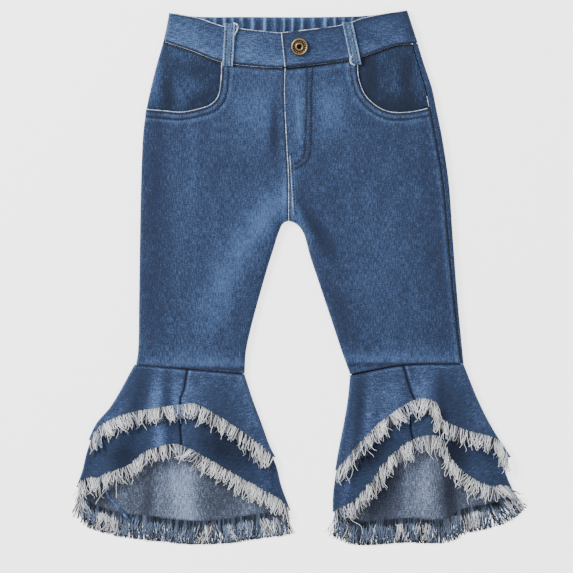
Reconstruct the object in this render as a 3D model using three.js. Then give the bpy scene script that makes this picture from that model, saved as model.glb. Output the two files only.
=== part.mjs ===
// Child's flared jeans laid flat on their back, waist away from the viewer.
// X runs to the right, Y towards the waist, Z up off the surface they lie on.
// Left and right are the sides seen from above. In the tables, x runs to the right from an
// upright line near the centre front, and drop runs down from the highest waist corner.
import * as THREE from 'three';

// Driving dimensions, in millimetres
const DENIM = 1.2;
const FLOUNCE_DENIM = 1.0;
const BAND_DENIM = 1.5;
const SEAM_GAP = 0.3;
const WAIST_GAP = 0.6;
const LEG_DEPTH = 6.8;
const BAND_DEPTH = 8.6;
const CENTRE = { x: 14.5, drop: 268.5 };
const NOTCH_ROUNDING = 5;
const BACK_SEAM_DROP = 41;
const CENTRE_BACK_X = 2;

const FRONT_LEVEL = LEG_DEPTH - DENIM / 2;
const BAND_LEVEL = BAND_DEPTH - BAND_DENIM / 2;

// Outer silhouette of the body and legs
const OUTLINE = [
  { drop: 0, left: -116.5, right: 120.5 },
  { drop: 31, left: -123.0, right: 130.5 },
  { drop: 54, left: -129.5, right: 137.5 },
  { drop: 78, left: -135.5, right: 145.5 },
  { drop: 102, left: -140.5, right: 150.5 },
  { drop: 126, left: -143.5, right: 155.5 },
  { drop: 174, left: -145.5, right: 162.5 },
  { drop: 222, left: -146.5, right: 166.0 },
  { drop: 294, left: -147.5, right: 171.5 },
  { drop: 342, left: -148.5, right: 176.0 },
  { drop: 366, left: -153.0, right: 178.5 },
];
// Where the side seam lies inside the silhouette: at the fold on the left, rolled forward on the right
const SIDE_SEAM_INSET = [
  { drop: 0, left: 0, right: 4.0 },
  { drop: 97, left: 0, right: 6.0 },
  { drop: 230, left: 0, right: 4.0 },
  { drop: 366, left: 0, right: 1.5 },
];
const CROTCH = { x: 2.0, drop: 210.5 };
const INSEAM = {
  left: [
    CROTCH,
    { x: -3.8, drop: 213 },
    { x: -8.2, drop: 222 },
    { x: -16.1, drop: 246 },
    { x: -23.1, drop: 270 },
    { x: -36.1, drop: 318 },
    { x: -41.1, drop: 342 },
    { x: -42.3, drop: 363.6 },
  ],
  right: [
    CROTCH,
    { x: 9.6, drop: 213 },
    { x: 17.1, drop: 222 },
    { x: 24.1, drop: 246 },
    { x: 32.1, drop: 270 },
    { x: 48.1, drop: 318 },
    { x: 56.1, drop: 342 },
    { x: 64.1, drop: 364 },
  ],
};
const CENTRE_FRONT = [
  { x: -1.5, drop: 57.5 },
  { x: -2.2, drop: 80 },
  { x: 0, drop: 134 },
  { x: 1.8, drop: 165 },
  CROTCH,
];
// Lower edge of the front waistband, from each side to the centre front
const WAIST_SEAM = {
  left: [
    { x: -123.5, drop: 31 },
    { x: -96, drop: 40 },
    { x: -65.5, drop: 51.5 },
    { x: -33.5, drop: 56 },
    { x: -1.5, drop: 57.6 },
  ],
  right: [
    { x: 130.5, drop: 33 },
    { x: 106.5, drop: 36 },
    { x: 76.5, drop: 46.5 },
    { x: 43.5, drop: 52.5 },
    { x: -1.5, drop: 57.6 },
  ],
};
// Upper edge of the front waistband, from each side to the centre front
const BAND_TOP = {
  left: [
    { x: -116.5, drop: 3 },
    { x: -89.5, drop: 8 },
    { x: -61.5, drop: 17 },
    { x: -47.5, drop: 18.6 },
    { x: -5, drop: 23 },
  ],
  right: [
    { x: 120.5, drop: 0.5 },
    { x: 81.5, drop: 7 },
    { x: 55.5, drop: 15 },
    { x: 25, drop: 19.5 },
    { x: -5, drop: 23 },
  ],
};
const BACK_BAND_TOP = [
  { x: -116.5, drop: 3 },
  { x: -89.5, drop: 6.6 },
  { x: -40, drop: 7 },
  { x: 40, drop: 7 },
  { x: 81.5, drop: 5.6 },
  { x: 120.5, drop: 0.5 },
];
// Curved pocket openings, from the side seam up to the waistband
const POCKET = {
  left: [
    { x: -140.5, drop: 99.5 },
    { x: -122.1, drop: 101 },
    { x: -104.8, drop: 102.3 },
    { x: -87.5, drop: 99 },
    { x: -76.1, drop: 95 },
    { x: -68.6, drop: 87 },
    { x: -65.4, drop: 70 },
    { x: -64.7, drop: 51.7 },
  ],
  right: [
    { x: 147, drop: 96.5 },
    { x: 137, drop: 99.6 },
    { x: 119.5, drop: 102.5 },
    { x: 103.5, drop: 102 },
    { x: 91.1, drop: 97 },
    { x: 78.5, drop: 85 },
    { x: 72, drop: 68 },
    { x: 70.8, drop: 48.1 },
  ],
};
const POCKET_TUCK = 9;
const FACING_DENIM = 1.0;

// Broad soft creases of the body: a ridge line, its height and its half width
const CREASES = [
  { fromX: -6, fromDrop: 196, toX: -72, toDrop: 318, rise: 1.3, width: 15 },
  { fromX: 9, fromDrop: 190, toX: 40, toDrop: 256, rise: 1.1, width: 10 },
  { fromX: 50, fromDrop: 286, toX: 66, toDrop: 322, rise: 0.8, width: 8 },
  { fromX: -24, fromDrop: 84, toX: -18, toDrop: 134, rise: 0.7, width: 5 },
];
const FLY = { width: 24, startDrop: 60, endDrop: 156, rise: 0.5 };

// Elastic gathers across the back waistband
const GATHERS = { from: -98, to: 92, count: 19, height: 1.3, fade: 8 };
const LAP = { end: 19, slope: 22, rise: BAND_DENIM + SEAM_GAP };

const BELT_LOOPS = {
  left: { topX: -56.5, topDrop: 13.6, footX: -58.8, footDrop: 56.4 },
  right: { topX: 60.7, topDrop: 12.6, footX: 69.6, footDrop: 54.6 },
};
const LOOP_WIDTH = 10.2;
const LOOP_DENIM = 1.4;
const LOOP_BULGE = 1.1;

const BUTTON = { x: 12.9, drop: 37.2, radius: 8.75, height: 3.2 };

// The flares: two flounces a leg, each cut in two halves joined at the centre front and back.
// Lines run from the left to the right of each leg.
const FLARE_LEVELS = { hemDrop: 432, side: 7.2, middle: 10.6, shoulder: 26 };
const TIER_GAP = 1.5;
const KNEE_GAP = { upper: 0.8, lower: 1.4 };
const UNDER_FRINGE = { reach: 18, settle: 16 };
const BACK_FOLDS = { from: 414, to: 498 };
const FRONT_COLUMNS = 10;
const BACK_COLUMNS = { upper: 4, lower: 9 };
const TURN_ANGLES = [Math.PI / 4, Math.PI / 2, (3 * Math.PI) / 4];
const FLARES = {
  left: {
    knee: [
      { x: -151.5, drop: 354.5 },
      { x: -98.5, drop: 359 },
      { x: -42, drop: 363.7 },
    ],
    seamShare: 0.48,
    upper: {
      westEdge: [
        { x: -151.5, drop: 354.8 },
        { x: -175, drop: 396 },
        { x: -190, drop: 414 },
        { x: -197.5, drop: 430 },
      ],
      eastEdge: [
        { x: -42.5, drop: 364 },
        { x: -34, drop: 390 },
        { x: -25, drop: 414 },
        { x: -17, drop: 436 },
        { x: -11.5, drop: 447 },
      ],
      hem: [
        { x: -197.5, drop: 430 },
        { x: -186.5, drop: 416 },
        { x: -161.5, drop: 405 },
        { x: -136.5, drop: 400 },
        { x: -106.5, drop: 396 },
        { x: -91.5, drop: 395 },
        { x: -74.5, drop: 403 },
        { x: -46.5, drop: 420 },
        { x: -24.5, drop: 436 },
        { x: -11.5, drop: 447 },
      ],
      backHem: [
        { x: -197.5, drop: 430 },
        { x: -186, drop: 443 },
        { x: -156, drop: 458 },
        { x: -101, drop: 466 },
        { x: -46, drop: 463 },
        { x: -20, drop: 456 },
        { x: -11.5, drop: 447 },
      ],
    },
    lower: {
      westEdge: [
        { x: -150.2, drop: 355.2 },
        { x: -172.5, drop: 396 },
        { x: -187, drop: 414 },
        { x: -195.3, drop: 431 },
        { x: -200, drop: 445 },
        { x: -203.5, drop: 460 },
        { x: -209.5, drop: 477 },
      ],
      eastEdge: [
        { x: -43.8, drop: 364.6 },
        { x: -36, drop: 390 },
        { x: -27, drop: 414 },
        { x: -18.5, drop: 438 },
        { x: -10.5, drop: 456 },
        { x: -5.5, drop: 476 },
        { x: 3.5, drop: 500 },
      ],
      hem: [
        { x: -209.5, drop: 477 },
        { x: -203, drop: 469 },
        { x: -191.5, drop: 469 },
        { x: -176.5, drop: 463 },
        { x: -156.5, drop: 455 },
        { x: -141.5, drop: 443 },
        { x: -128.5, drop: 438 },
        { x: -111.5, drop: 435 },
        { x: -96.5, drop: 440 },
        { x: -81.5, drop: 448 },
        { x: -51.5, drop: 465 },
        { x: -24.5, drop: 480 },
        { x: -6.5, drop: 490 },
        { x: 3.5, drop: 500 },
      ],
      backHem: [
        { x: -209.5, drop: 477 },
        { x: -205, drop: 488 },
        { x: -196.5, drop: 494 },
        { x: -171.5, drop: 502 },
        { x: -136.5, drop: 507 },
        { x: -86.5, drop: 511 },
        { x: -61.5, drop: 510 },
        { x: -26.5, drop: 505 },
        { x: -8, drop: 503 },
        { x: 3.5, drop: 500 },
      ],
    },
    // Front folds: the crest at the knee and at the hem, its rise, and its two slopes' widths
    folds: [
      { knee: -147, hem: -166, rise: 3.4, west: 16, east: 18 },
      { knee: -128, hem: -124, rise: 5.0, west: 14, east: 13 },
      { knee: -95, hem: -88, rise: 4.6, west: 15, east: 30 },
      { knee: -50, hem: -28, rise: 3.4, west: 18, east: 15 },
    ],
    backFolds: [
      { knee: -150, hem: -158, rise: 3.6, west: 13, east: 18 },
      { knee: -95, hem: -98, rise: 5.6, west: 26, east: 34 },
      { knee: -50, hem: -24, rise: 3.2, west: 22, east: 14 },
    ],
  },
  right: {
    knee: [
      { x: 63.5, drop: 364.4 },
      { x: 116.9, drop: 355 },
      { x: 176.5, drop: 353.7 },
    ],
    seamShare: 0.47,
    upper: {
      westEdge: [
        { x: 64, drop: 364.7 },
        { x: 61.5, drop: 390 },
        { x: 57.5, drop: 414 },
        { x: 52, drop: 442 },
        { x: 49, drop: 460 },
      ],
      eastEdge: [
        { x: 176.5, drop: 354 },
        { x: 191, drop: 390 },
        { x: 203, drop: 414 },
        { x: 214.5, drop: 433 },
        { x: 224, drop: 447 },
      ],
      hem: [
        { x: 49, drop: 460 },
        { x: 93.5, drop: 413 },
        { x: 123.5, drop: 393 },
        { x: 133.5, drop: 390 },
        { x: 146.5, drop: 392 },
        { x: 153.5, drop: 408 },
        { x: 183.5, drop: 422 },
        { x: 213.5, drop: 431 },
        { x: 224, drop: 447 },
      ],
      backHem: [
        { x: 49, drop: 460 },
        { x: 70, drop: 466 },
        { x: 118.5, drop: 469 },
        { x: 163.5, drop: 466 },
        { x: 203.5, drop: 458 },
        { x: 224, drop: 447 },
      ],
    },
    lower: {
      westEdge: [
        { x: 65.3, drop: 365.3 },
        { x: 63.5, drop: 390 },
        { x: 59.5, drop: 414 },
        { x: 54, drop: 442 },
        { x: 49, drop: 468 },
        { x: 46.8, drop: 486 },
        { x: 46.5, drop: 502 },
      ],
      eastEdge: [
        { x: 175.2, drop: 354.6 },
        { x: 188.5, drop: 390 },
        { x: 200, drop: 414 },
        { x: 210, drop: 436 },
        { x: 216.5, drop: 456 },
        { x: 220.5, drop: 468 },
        { x: 225.5, drop: 479 },
      ],
      hem: [
        { x: 46.5, drop: 502 },
        { x: 68.5, drop: 490 },
        { x: 106.5, drop: 445 },
        { x: 133.5, drop: 428 },
        { x: 153, drop: 428 },
        { x: 165, drop: 451 },
        { x: 188.5, drop: 470 },
        { x: 205, drop: 477 },
        { x: 218, drop: 477 },
        { x: 225.5, drop: 479 },
      ],
      backHem: [
        { x: 46.5, drop: 502 },
        { x: 68.5, drop: 511 },
        { x: 93.5, drop: 511 },
        { x: 120.5, drop: 509 },
        { x: 158.5, drop: 509 },
        { x: 173.5, drop: 501 },
        { x: 203.5, drop: 494 },
        { x: 218, drop: 488 },
        { x: 225.5, drop: 479 },
      ],
    },
    folds: [
      { knee: 68, hem: 62, rise: 3.2, west: 12, east: 11 },
      { knee: 106, hem: 108, rise: 3.2, west: 26, east: 24 },
      { knee: 143, hem: 149, rise: 6.4, west: 20, east: 11 },
      { knee: 169, hem: 190, rise: 3.6, west: 18, east: 16 },
    ],
    backFolds: [
      { knee: 76, hem: 74, rise: 3.0, west: 16, east: 18 },
      { knee: 143, hem: 150, rise: 6.0, west: 26, east: 15 },
      { knee: 170, hem: 194, rise: 3.4, west: 18, east: 18 },
    ],
  },
};

const FRINGE_GAP = 0.4;
const FLOOR_CLEARANCE = 0.1;
const FRINGE_STRIP = { width: 2.6, thickness: 0.8 };
// Frayed edges: the locks' mean length and spread, their size at the root, how far they hang
// straight down the garment rather than square to the hem, how far a point rises from the
// cloth's level, and the lowest that a lock's middle may lie
const FRINGES = {
  upper_front: { length: 17, spread: 6, width: 4.6, thickness: 1.2, hang: 0.4, lift: 0.3, floor: 0 },
  upper_back: { length: 14, spread: 3, width: 5.0, thickness: 0.6, hang: 0.6, lift: 0, floor: 0.5 },
  lower_front: { length: 18, spread: 6, width: 4.6, thickness: 1.2, hang: 0.4, lift: -0.8, floor: 0 },
  lower_back: { length: 24, spread: 5, width: 5.0, thickness: 1.2, hang: 0.7, lift: 0, floor: 0.9 },
};
const FRINGE_SEEDS = { left: 3, right: 71 };
// How the locks lean sideways at the outer corner of each leg's lower hem
const CORNER_LEAN = {
  left: { x: -209.5, lean: -0.06, near: 4, far: 34 },
  right: { x: 225.5, lean: 0.8, near: 6, far: 34 },
};
const LOCK_BEND = 0.6;
const LOCK_TAPER = 0.8;
const LOCK_TURN = 0.5;
// Where a hem runs this steeply down the garment, its locks turn to hang straight and its
// strip keeps this much more room, as the cloth there is tilted
const STEEP_HEM = { from: 0.45, to: 0.8, gap: 1.3 };

const COLOURS = {
  denim: { color: '#40577c', roughness: 0.85, metalness: 0 },
  facing: { color: '#35496b', roughness: 0.85, metalness: 0 },
  band: { color: '#57729a', roughness: 0.85, metalness: 0 },
  loop: { color: '#6f86a3', roughness: 0.85, metalness: 0 },
  flounce: { color: '#415a80', roughness: 0.85, metalness: 0 },
  fringe: { color: '#b8bac4', roughness: 0.9, metalness: 0 },
  brass: { color: '#65533f', roughness: 0.4, metalness: 1 },
};

const { clamp, lerp, smoothstep } = THREE.MathUtils;
const garment = new THREE.Group();

function add(name, geometry, finish) {
  const mesh = new THREE.Mesh(geometry, new THREE.MeshStandardMaterial(COLOURS[finish]));
  mesh.name = name;
  garment.add(mesh);
}

// A point of the garment from its place in the tables
const place = (x, drop, z) => new THREE.Vector3(x - CENTRE.x, CENTRE.drop - drop, z);

// Reads one column of a table smoothly at any value of another column
function reader(rows, by, of) {
  const slopes = rows.map((row, i) => {
    const before = rows[Math.max(i - 1, 0)];
    const after = rows[Math.min(i + 1, rows.length - 1)];
    return (after[of] - before[of]) / (after[by] - before[by]);
  });
  return (at) => {
    const found = rows.findIndex((row, i) => i > 0 && at <= row[by]);
    const last = found < 0 ? rows.length - 1 : found;
    const [start, end] = [rows[last - 1], rows[last]];
    const span = end[by] - start[by];
    const t = clamp((at - start[by]) / span, 0, 1);
    const bend = t * t * (3 - 2 * t);
    const leave = span * slopes[last - 1] * t * (1 - t) * (1 - t);
    const arrive = span * slopes[last] * t * t * (1 - t);
    return lerp(start[of], end[of], bend) + leave - arrive;
  };
}

// A smooth line through table rows, read by its share of length from 0 to 1
function line(rows) {
  const points = rows.map((row) => new THREE.Vector3(row.x, row.drop, 0));
  const curve = new THREE.CatmullRomCurve3(points, false, 'centripetal');
  return (share) => curve.getPointAt(clamp(share, 0, 1));
}

// Two lines end to end, the first taking the given share
const joined = (first, second, share) => (at) => (
  at <= share ? first(at / share) : second((at - share) / (1 - share)));

const moved = (path, dx, ddrop) => (at) => path(at).add(new THREE.Vector3(dx(at), ddrop, 0));

// Evenly spaced shares between two ends
const shares = (from, to, count) => (
  Array.from({ length: count + 1 }, (_, i) => lerp(from, to, i / count)));

// Fills four border lines with rows of plan points
function patch(top, bottom, west, east, across, down) {
  const corner = { a: top(0), b: top(1), c: bottom(0), d: bottom(1) };
  return down.map((v) => across.map((u) => new THREE.Vector3()
    .addScaledVector(top(u), 1 - v)
    .addScaledVector(bottom(u), v)
    .addScaledVector(west(v), 1 - u)
    .addScaledVector(east(v), u)
    .addScaledVector(corner.a, -(1 - u) * (1 - v))
    .addScaledVector(corner.b, -u * (1 - v))
    .addScaledVector(corner.c, -(1 - u) * v)
    .addScaledVector(corner.d, -u * v)));
}

// Closed geometry from points and triangles, turned so that its faces point out
function closed(points, triangles) {
  let volume = 0;
  for (const [a, b, c] of triangles) {
    volume += points[a].dot(new THREE.Vector3().crossVectors(points[b], points[c]));
  }
  const faces = volume < 0 ? triangles.map(([a, b, c]) => [a, c, b]) : triangles;
  const geometry = new THREE.BufferGeometry().setFromPoints(points);
  geometry.setIndex(faces.flat());
  return geometry;
}

// A wall of cloth around a grid of mid-surface points. handed is 1 where columns run to the
// right over the top; settle corrects a normal at a rim; raise lifts the outer points.
function wall(grid, thickness, handed, { settle = () => {}, raise = () => 0 } = {}) {
  const rows = grid.length;
  const columns = grid[0].length;
  const at = (r, c) => grid[clamp(r, 0, rows - 1)][clamp(c, 0, columns - 1)];
  const outer = [];
  const inner = [];
  for (let r = 0; r < rows; r += 1) {
    for (let c = 0; c < columns; c += 1) {
      const along = at(r, c + 1).clone().sub(at(r, c - 1));
      const down = at(r + 1, c).clone().sub(at(r - 1, c));
      const normal = down.cross(along).multiplyScalar(handed);
      settle(normal, grid[r][c], r, c);
      normal.normalize();
      outer.push(grid[r][c].clone().addScaledVector(normal, thickness / 2 + raise(r, c)));
      inner.push(grid[r][c].clone().addScaledVector(normal, -thickness / 2));
    }
  }
  const count = rows * columns;
  const index = (r, c) => r * columns + c;
  const triangles = [];
  const quad = (a, b, c, d) => triangles.push([a, b, c], [a, c, d]);
  for (let r = 0; r < rows - 1; r += 1) {
    for (let c = 0; c < columns - 1; c += 1) {
      const [a, b, d, e] = [index(r, c), index(r, c + 1), index(r + 1, c + 1), index(r + 1, c)];
      quad(a, b, d, e);
      quad(count + a, count + e, count + d, count + b);
    }
  }
  const rim = (a, b) => quad(b, a, count + a, count + b);
  for (let c = 0; c < columns - 1; c += 1) {
    rim(index(0, c), index(0, c + 1));
    rim(index(rows - 1, c + 1), index(rows - 1, c));
  }
  for (let r = 0; r < rows - 1; r += 1) {
    rim(index(r + 1, 0), index(r, 0));
    rim(index(r, columns - 1), index(r + 1, columns - 1));
  }
  return closed([...outer, ...inner], triangles);
}

// Distance from a plan point to a chain of points, positive on one side and negative on the other
function signedDistance(points, x, drop) {
  let best = Infinity;
  for (let i = 1; i < points.length; i += 1) {
    const [a, b] = [points[i - 1], points[i]];
    const [dx, dy] = [b.x - a.x, b.y - a.y];
    const t = clamp(((x - a.x) * dx + (drop - a.y) * dy) / (dx * dx + dy * dy), 0, 1);
    const away = Math.hypot(x - a.x - t * dx, drop - a.y - t * dy);
    const side = dx * (drop - a.y) < dy * (x - a.x) ? -1 : 1;
    if (away < Math.abs(best)) best = away * side;
  }
  return best;
}
const distanceTo = (points, x, drop) => Math.abs(signedDistance(points, x, drop));
const chain = (path, count) => shares(0, 1, count).map((share) => path(share));

// The body laid flat: two faces joined by a turn at each side and at the crotch notch
const outline = { left: reader(OUTLINE, 'drop', 'left'), right: reader(OUTLINE, 'drop', 'right') };
const seamInset = {
  left: reader(SIDE_SEAM_INSET, 'drop', 'left'),
  right: reader(SIDE_SEAM_INSET, 'drop', 'right'),
};
const inseam = { left: line(INSEAM.left), right: line(INSEAM.right) };
const notch = [...chain(inseam.left, 90).reverse(), ...chain(inseam.right, 90).slice(1)];

function notchShare(x, drop) {
  const near = Math.min(distanceTo(notch, x, drop) / NOTCH_ROUNDING, 1);
  return Math.sqrt(1 - (1 - near) ** 2);
}

function creaseHeight(x, drop) {
  let height = 0;
  for (const crease of CREASES) {
    const ends = [
      new THREE.Vector2(crease.fromX, crease.fromDrop),
      new THREE.Vector2(crease.toX, crease.toDrop),
    ];
    const away = distanceTo(ends, x, drop) / crease.width;
    height += crease.rise * Math.exp(-away * away);
  }
  return height * notchShare(x, drop);
}

// A tube of cloth laid flat: the heights of its two faces and its turn at the sides
const tube = (cloth, depth) => ({
  cloth,
  middle: depth / 2,
  turn: (depth - cloth) / 2,
});
const BODY = tube(DENIM, LEG_DEPTH);
const BAND = tube(BAND_DENIM, BAND_DEPTH);

const sideSign = { left: -1, right: 1 };
const tangentX = (layer, side, drop) => (
  outline[side](drop) - sideSign[side] * (layer.cloth / 2 + layer.turn));

// How far past the tangent the side seam lies, measured along the cloth from the front
function seamReach(layer, side, drop) {
  const inset = layer === BODY ? seamInset[side](drop) : 0;
  return inset < layer.turn ? layer.turn * Math.asin(1 - inset / layer.turn) : layer.turn - inset;
}

// A point on a laid tube: face 1 is the front and -1 the back; lift moves it outwards
function laidPoint(layer, x, drop, face, lift = 0) {
  const [west, east] = [tangentX(layer, 'left', drop), tangentX(layer, 'right', drop)];
  const past = Math.max(west - x, x - east);
  const { middle, turn } = layer;
  if (past <= 0) {
    const half = SEAM_GAP / 2 + (turn - SEAM_GAP / 2) * notchShare(x, drop);
    const crease = face > 0 ? creaseHeight(x, drop) : 0;
    return place(x, drop, middle + face * (half + lift) + crease);
  }
  const side = x < west ? -1 : 1;
  const centre = side < 0 ? west : east;
  const angle = past / turn;
  if (angle < Math.PI) {
    const out = side * (turn + lift) * Math.sin(angle);
    return place(centre + out, drop, middle + face * (turn + lift) * Math.cos(angle));
  }
  return place(centre - side * (past - Math.PI * turn), drop, middle - face * (turn + lift));
}

// Side seam line between two drops in a face's unrolled plan, half a seam gap back from the seam
function sideSeam(layer, side, face, fromDrop, toDrop) {
  return (share) => {
    const drop = lerp(fromDrop, toDrop, share);
    const reach = seamReach(layer, side, drop);
    const unrolled = face > 0 ? reach : Math.PI * layer.turn - reach;
    const x = tangentX(layer, side, drop) + sideSign[side] * (unrolled - SEAM_GAP / 2);
    return new THREE.Vector3(x, drop, 0);
  };
}

const laidOut = (layer, grid, face, lift = () => 0) => grid.map((row) => (
  row.map((point) => laidPoint(layer, point.x, point.y, face, lift(point.x, point.y)))));

// Rims along the side seams and the notch lie level, and those of the centre seam stand upright
const settleRims = (lastColumn, crotchRow) => (normal, point, r, c) => {
  if (Math.abs(point.z - BODY.middle) < BODY.turn / 3) normal.z = 0;
  if (c === lastColumn && r <= crotchRow) normal.x = 0;
};

// Columns close together at the turned side seam and at the rounded inseam
const TURN_COLUMNS = [0, 0.003, 0.01, 0.018, 0.028, 0.042];
const INSEAM_COLUMNS = [0.962, 0.98, 0.992, 1];

// Rows of the panels: even ones above the crotch, then close ones just below it
const CROTCH_SHARE = 0.5;
const ROWS_ABOVE = 6;
const ROWS_BELOW = [0.512, 0.53, 0.56, 0.62, 0.7, 0.8, 0.9, 1];
const PANEL_ROWS = [...shares(0, CROTCH_SHARE, ROWS_ABOVE), ...ROWS_BELOW];

const kneeSeam = { left: line(FLARES.left.knee), right: line(FLARES.right.knee) };
const kneeFromSide = {
  left: (share) => kneeSeam.left(share),
  right: (share) => kneeSeam.right(1 - share),
};
const centreGap = { left: () => -SEAM_GAP / 2, right: () => SEAM_GAP / 2 };

// The share of a line at which it passes a given x, found by halving
function shareAt(path, x) {
  let [low, high] = [0, 1];
  const rising = path(1).x > path(0).x;
  for (let step = 0; step < 20; step += 1) {
    const middle = (low + high) / 2;
    if (path(middle).x < x === rising) low = middle;
    else high = middle;
  }
  return low;
}

function frontPanel(side) {
  const pocket = line(POCKET[side]);
  const waist = line(WAIST_SEAM[side]);
  const waistShare = shareAt(waist, POCKET[side].at(-1).x);
  const waistFromPocket = moved((share) => waist(lerp(waistShare, 1, share)), () => 0, WAIST_GAP);
  const pocketShare = 0.58;
  const top = joined(pocket, waistFromPocket, pocketShare);
  const centre = moved(line(CENTRE_FRONT), centreGap[side], 0);
  const inner = joined(centre, inseam[side], CROTCH_SHARE);
  const outer = sideSeam(BODY, side, 1, POCKET[side][0].drop, kneeFromSide[side](0).y);
  const across = [
    ...TURN_COLUMNS, 0.1, 0.2, 0.3, 0.39, 0.47, 0.53, pocketShare, 0.68, 0.78, 0.88,
    ...INSEAM_COLUMNS,
  ];
  const plan = patch(top, kneeFromSide[side], outer, inner, across, PANEL_ROWS);
  const raise = (r, c) => {
    if (side === 'left') return 0;
    const { x, y: drop } = plan[r][c];
    const width = smoothstep(FLY.width - x, 0, 5);
    const clearOfBand = smoothstep(drop, FLY.startDrop, FLY.startDrop + 5);
    return FLY.rise * width * clearOfBand * smoothstep(FLY.endDrop - drop, 0, 10);
  };
  const settle = settleRims(across.length - 1, ROWS_ABOVE);
  return wall(laidOut(BODY, plan, 1), DENIM, -sideSign[side], { settle, raise });
}

function backPanel(side) {
  const sideDrop = side === 'left' ? 32 : 34;
  const top = line([
    { x: outline[side](sideDrop), drop: sideDrop },
    { x: sideSign[side] * 60 + 5, drop: BACK_SEAM_DROP - 2 },
    { x: CENTRE_BACK_X, drop: BACK_SEAM_DROP },
  ]);
  const centre = moved(
    line([{ x: CENTRE_BACK_X, drop: BACK_SEAM_DROP }, { x: CENTRE_BACK_X, drop: 126 }, CROTCH]),
    centreGap[side],
    0,
  );
  const inner = joined(centre, inseam[side], CROTCH_SHARE);
  const outer = sideSeam(BODY, side, -1, sideDrop, kneeFromSide[side](0).y);
  const turned = side === 'left' ? TURN_COLUMNS : [0, 0.004, 0.016, 0.03, 0.044, 0.058, 0.072, 0.09];
  const across = [...turned, 0.16, 0.3, 0.45, 0.6, 0.75, 0.9, ...INSEAM_COLUMNS];
  const plan = patch(top, kneeFromSide[side], outer, inner, across, PANEL_ROWS);
  const settle = settleRims(across.length - 1, ROWS_ABOVE);
  return wall(laidOut(BODY, plan, -1), DENIM, sideSign[side], { settle });
}

// The hip piece that shows in the pocket opening and runs on under the front panel
function pocketFacing(side) {
  const pocket = line(POCKET[side]);
  const edge = chain(pocket, 40);
  const sign = sideSign[side];
  const tucked = (share) => {
    const point = pocket(share);
    const ahead = pocket(Math.min(share + 0.01, 1)).sub(pocket(Math.max(share - 0.01, 0))).normalize();
    const reach = lerp(-SEAM_GAP, POCKET_TUCK, smoothstep(share, 0.1, 0.22));
    return point.add(new THREE.Vector3(ahead.y, -ahead.x, 0).multiplyScalar(sign * reach));
  };
  const bend = 0.66;
  const waist = line(WAIST_SEAM[side]);
  const lastShare = shareAt(waist, tucked(1).x);
  const top = moved((share) => waist(share * lastShare), () => 0, WAIST_GAP);
  const outer = moved(
    sideSeam(BODY, side, 1, WAIST_SEAM[side][0].drop + WAIST_GAP, POCKET[side][0].drop - SEAM_GAP),
    () => -sign * 2 * SEAM_GAP,
    0,
  );
  const inner = (share) => tucked(lerp(1, bend, share));
  const across = [...TURN_COLUMNS, 0.12, 0.25, 0.4, 0.55, 0.7, 0.85, 1];
  const plan = patch(top, (share) => tucked(share * bend), outer, inner, across, shares(0, 1, 7));
  const depth = DENIM / 2 + SEAM_GAP + FACING_DENIM / 2;
  const lift = (x, drop) => {
    const inside = signedDistance(edge, x, drop) * sign;
    const fromSide = sign * (tangentX(BODY, side, drop) - x);
    return -depth * (1 - smoothstep(inside, 2, 16)) * smoothstep(fromSide, 0, 7);
  };
  const settle = settleRims(-1, 0);
  return wall(laidOut(BODY, plan, 1, lift), FACING_DENIM, -sign, { settle });
}

// Front waistband halves; the right one laps over the left one at the centre front
const LAP_BAND = { left: { x: 17, topDrop: 21.6, footDrop: 53.6 } };
function frontBand(side) {
  const sign = sideSign[side];
  const under = LAP_BAND[side];
  const ends = under ? [{ x: under.x, drop: under.topDrop }, { x: under.x, drop: under.footDrop }] : [];
  const top = line([...BAND_TOP[side], ...ends.slice(0, 1)]);
  const foot = line([...WAIST_SEAM[side], ...ends.slice(1)]);
  const outer = sideSeam(BAND, side, 1, BAND_TOP[side][0].drop, WAIST_SEAM[side][0].drop);
  const inner = (share) => top(1).lerp(foot(1), share);
  const across = [...TURN_COLUMNS, ...shares(0.1, 1, 13)];
  const plan = patch(top, foot, outer, inner, across, shares(0, 1, 3));
  const lift = (x) => (side === 'left' ? 0 : LAP.rise * (1 - smoothstep(x, LAP.end, LAP.end + LAP.slope)));
  const settle = (normal, point) => {
    if (Math.abs(point.z - BAND.middle) < SEAM_GAP) normal.z = 0;
  };
  return wall(laidOut(BAND, plan, 1, lift), BAND_DENIM, -sign, { settle });
}

// Back waistband: flat underneath, its inner face raised in uneven elastic gathers
function backBand() {
  const foot = line([
    { x: WAIST_SEAM.left[0].x, drop: WAIST_SEAM.left[0].drop },
    { x: CENTRE_BACK_X, drop: BACK_SEAM_DROP - 2 * WAIST_GAP },
    { x: WAIST_SEAM.right[0].x, drop: WAIST_SEAM.right[0].drop },
  ]);
  const west = sideSeam(BAND, 'left', -1, BACK_BAND_TOP[0].drop, WAIST_SEAM.left[0].drop);
  const east = sideSeam(BAND, 'right', -1, BACK_BAND_TOP.at(-1).drop, WAIST_SEAM.right[0].drop);
  const turned = TURN_COLUMNS.map((share) => share / 2);
  const plain = 0.08;
  const across = [
    ...turned,
    ...shares(plain, 1 - plain, GATHERS.count * 4),
    ...turned.map((share) => 1 - share).reverse(),
  ];
  const plan = patch(line(BACK_BAND_TOP), foot, west, east, across, shares(0, 1, 2));
  const raise = (r, c) => {
    const { x } = plan[r][c];
    const along = (x - GATHERS.from) / (GATHERS.to - GATHERS.from);
    const phase = GATHERS.count * along + 0.16 * Math.sin(x * 0.11);
    const ends = smoothstep(x, GATHERS.from, GATHERS.from + GATHERS.fade)
      * smoothstep(GATHERS.to - x, 0, GATHERS.fade);
    return GATHERS.height * ends * (0.5 - 0.5 * Math.cos(2 * Math.PI * phase));
  };
  const settle = (normal, point) => {
    if (Math.abs(point.z - BAND.middle) < SEAM_GAP) normal.z = 0;
  };
  return wall(laidOut(BAND, plan, -1), BAND_DENIM, 1, { settle, raise });
}

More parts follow.
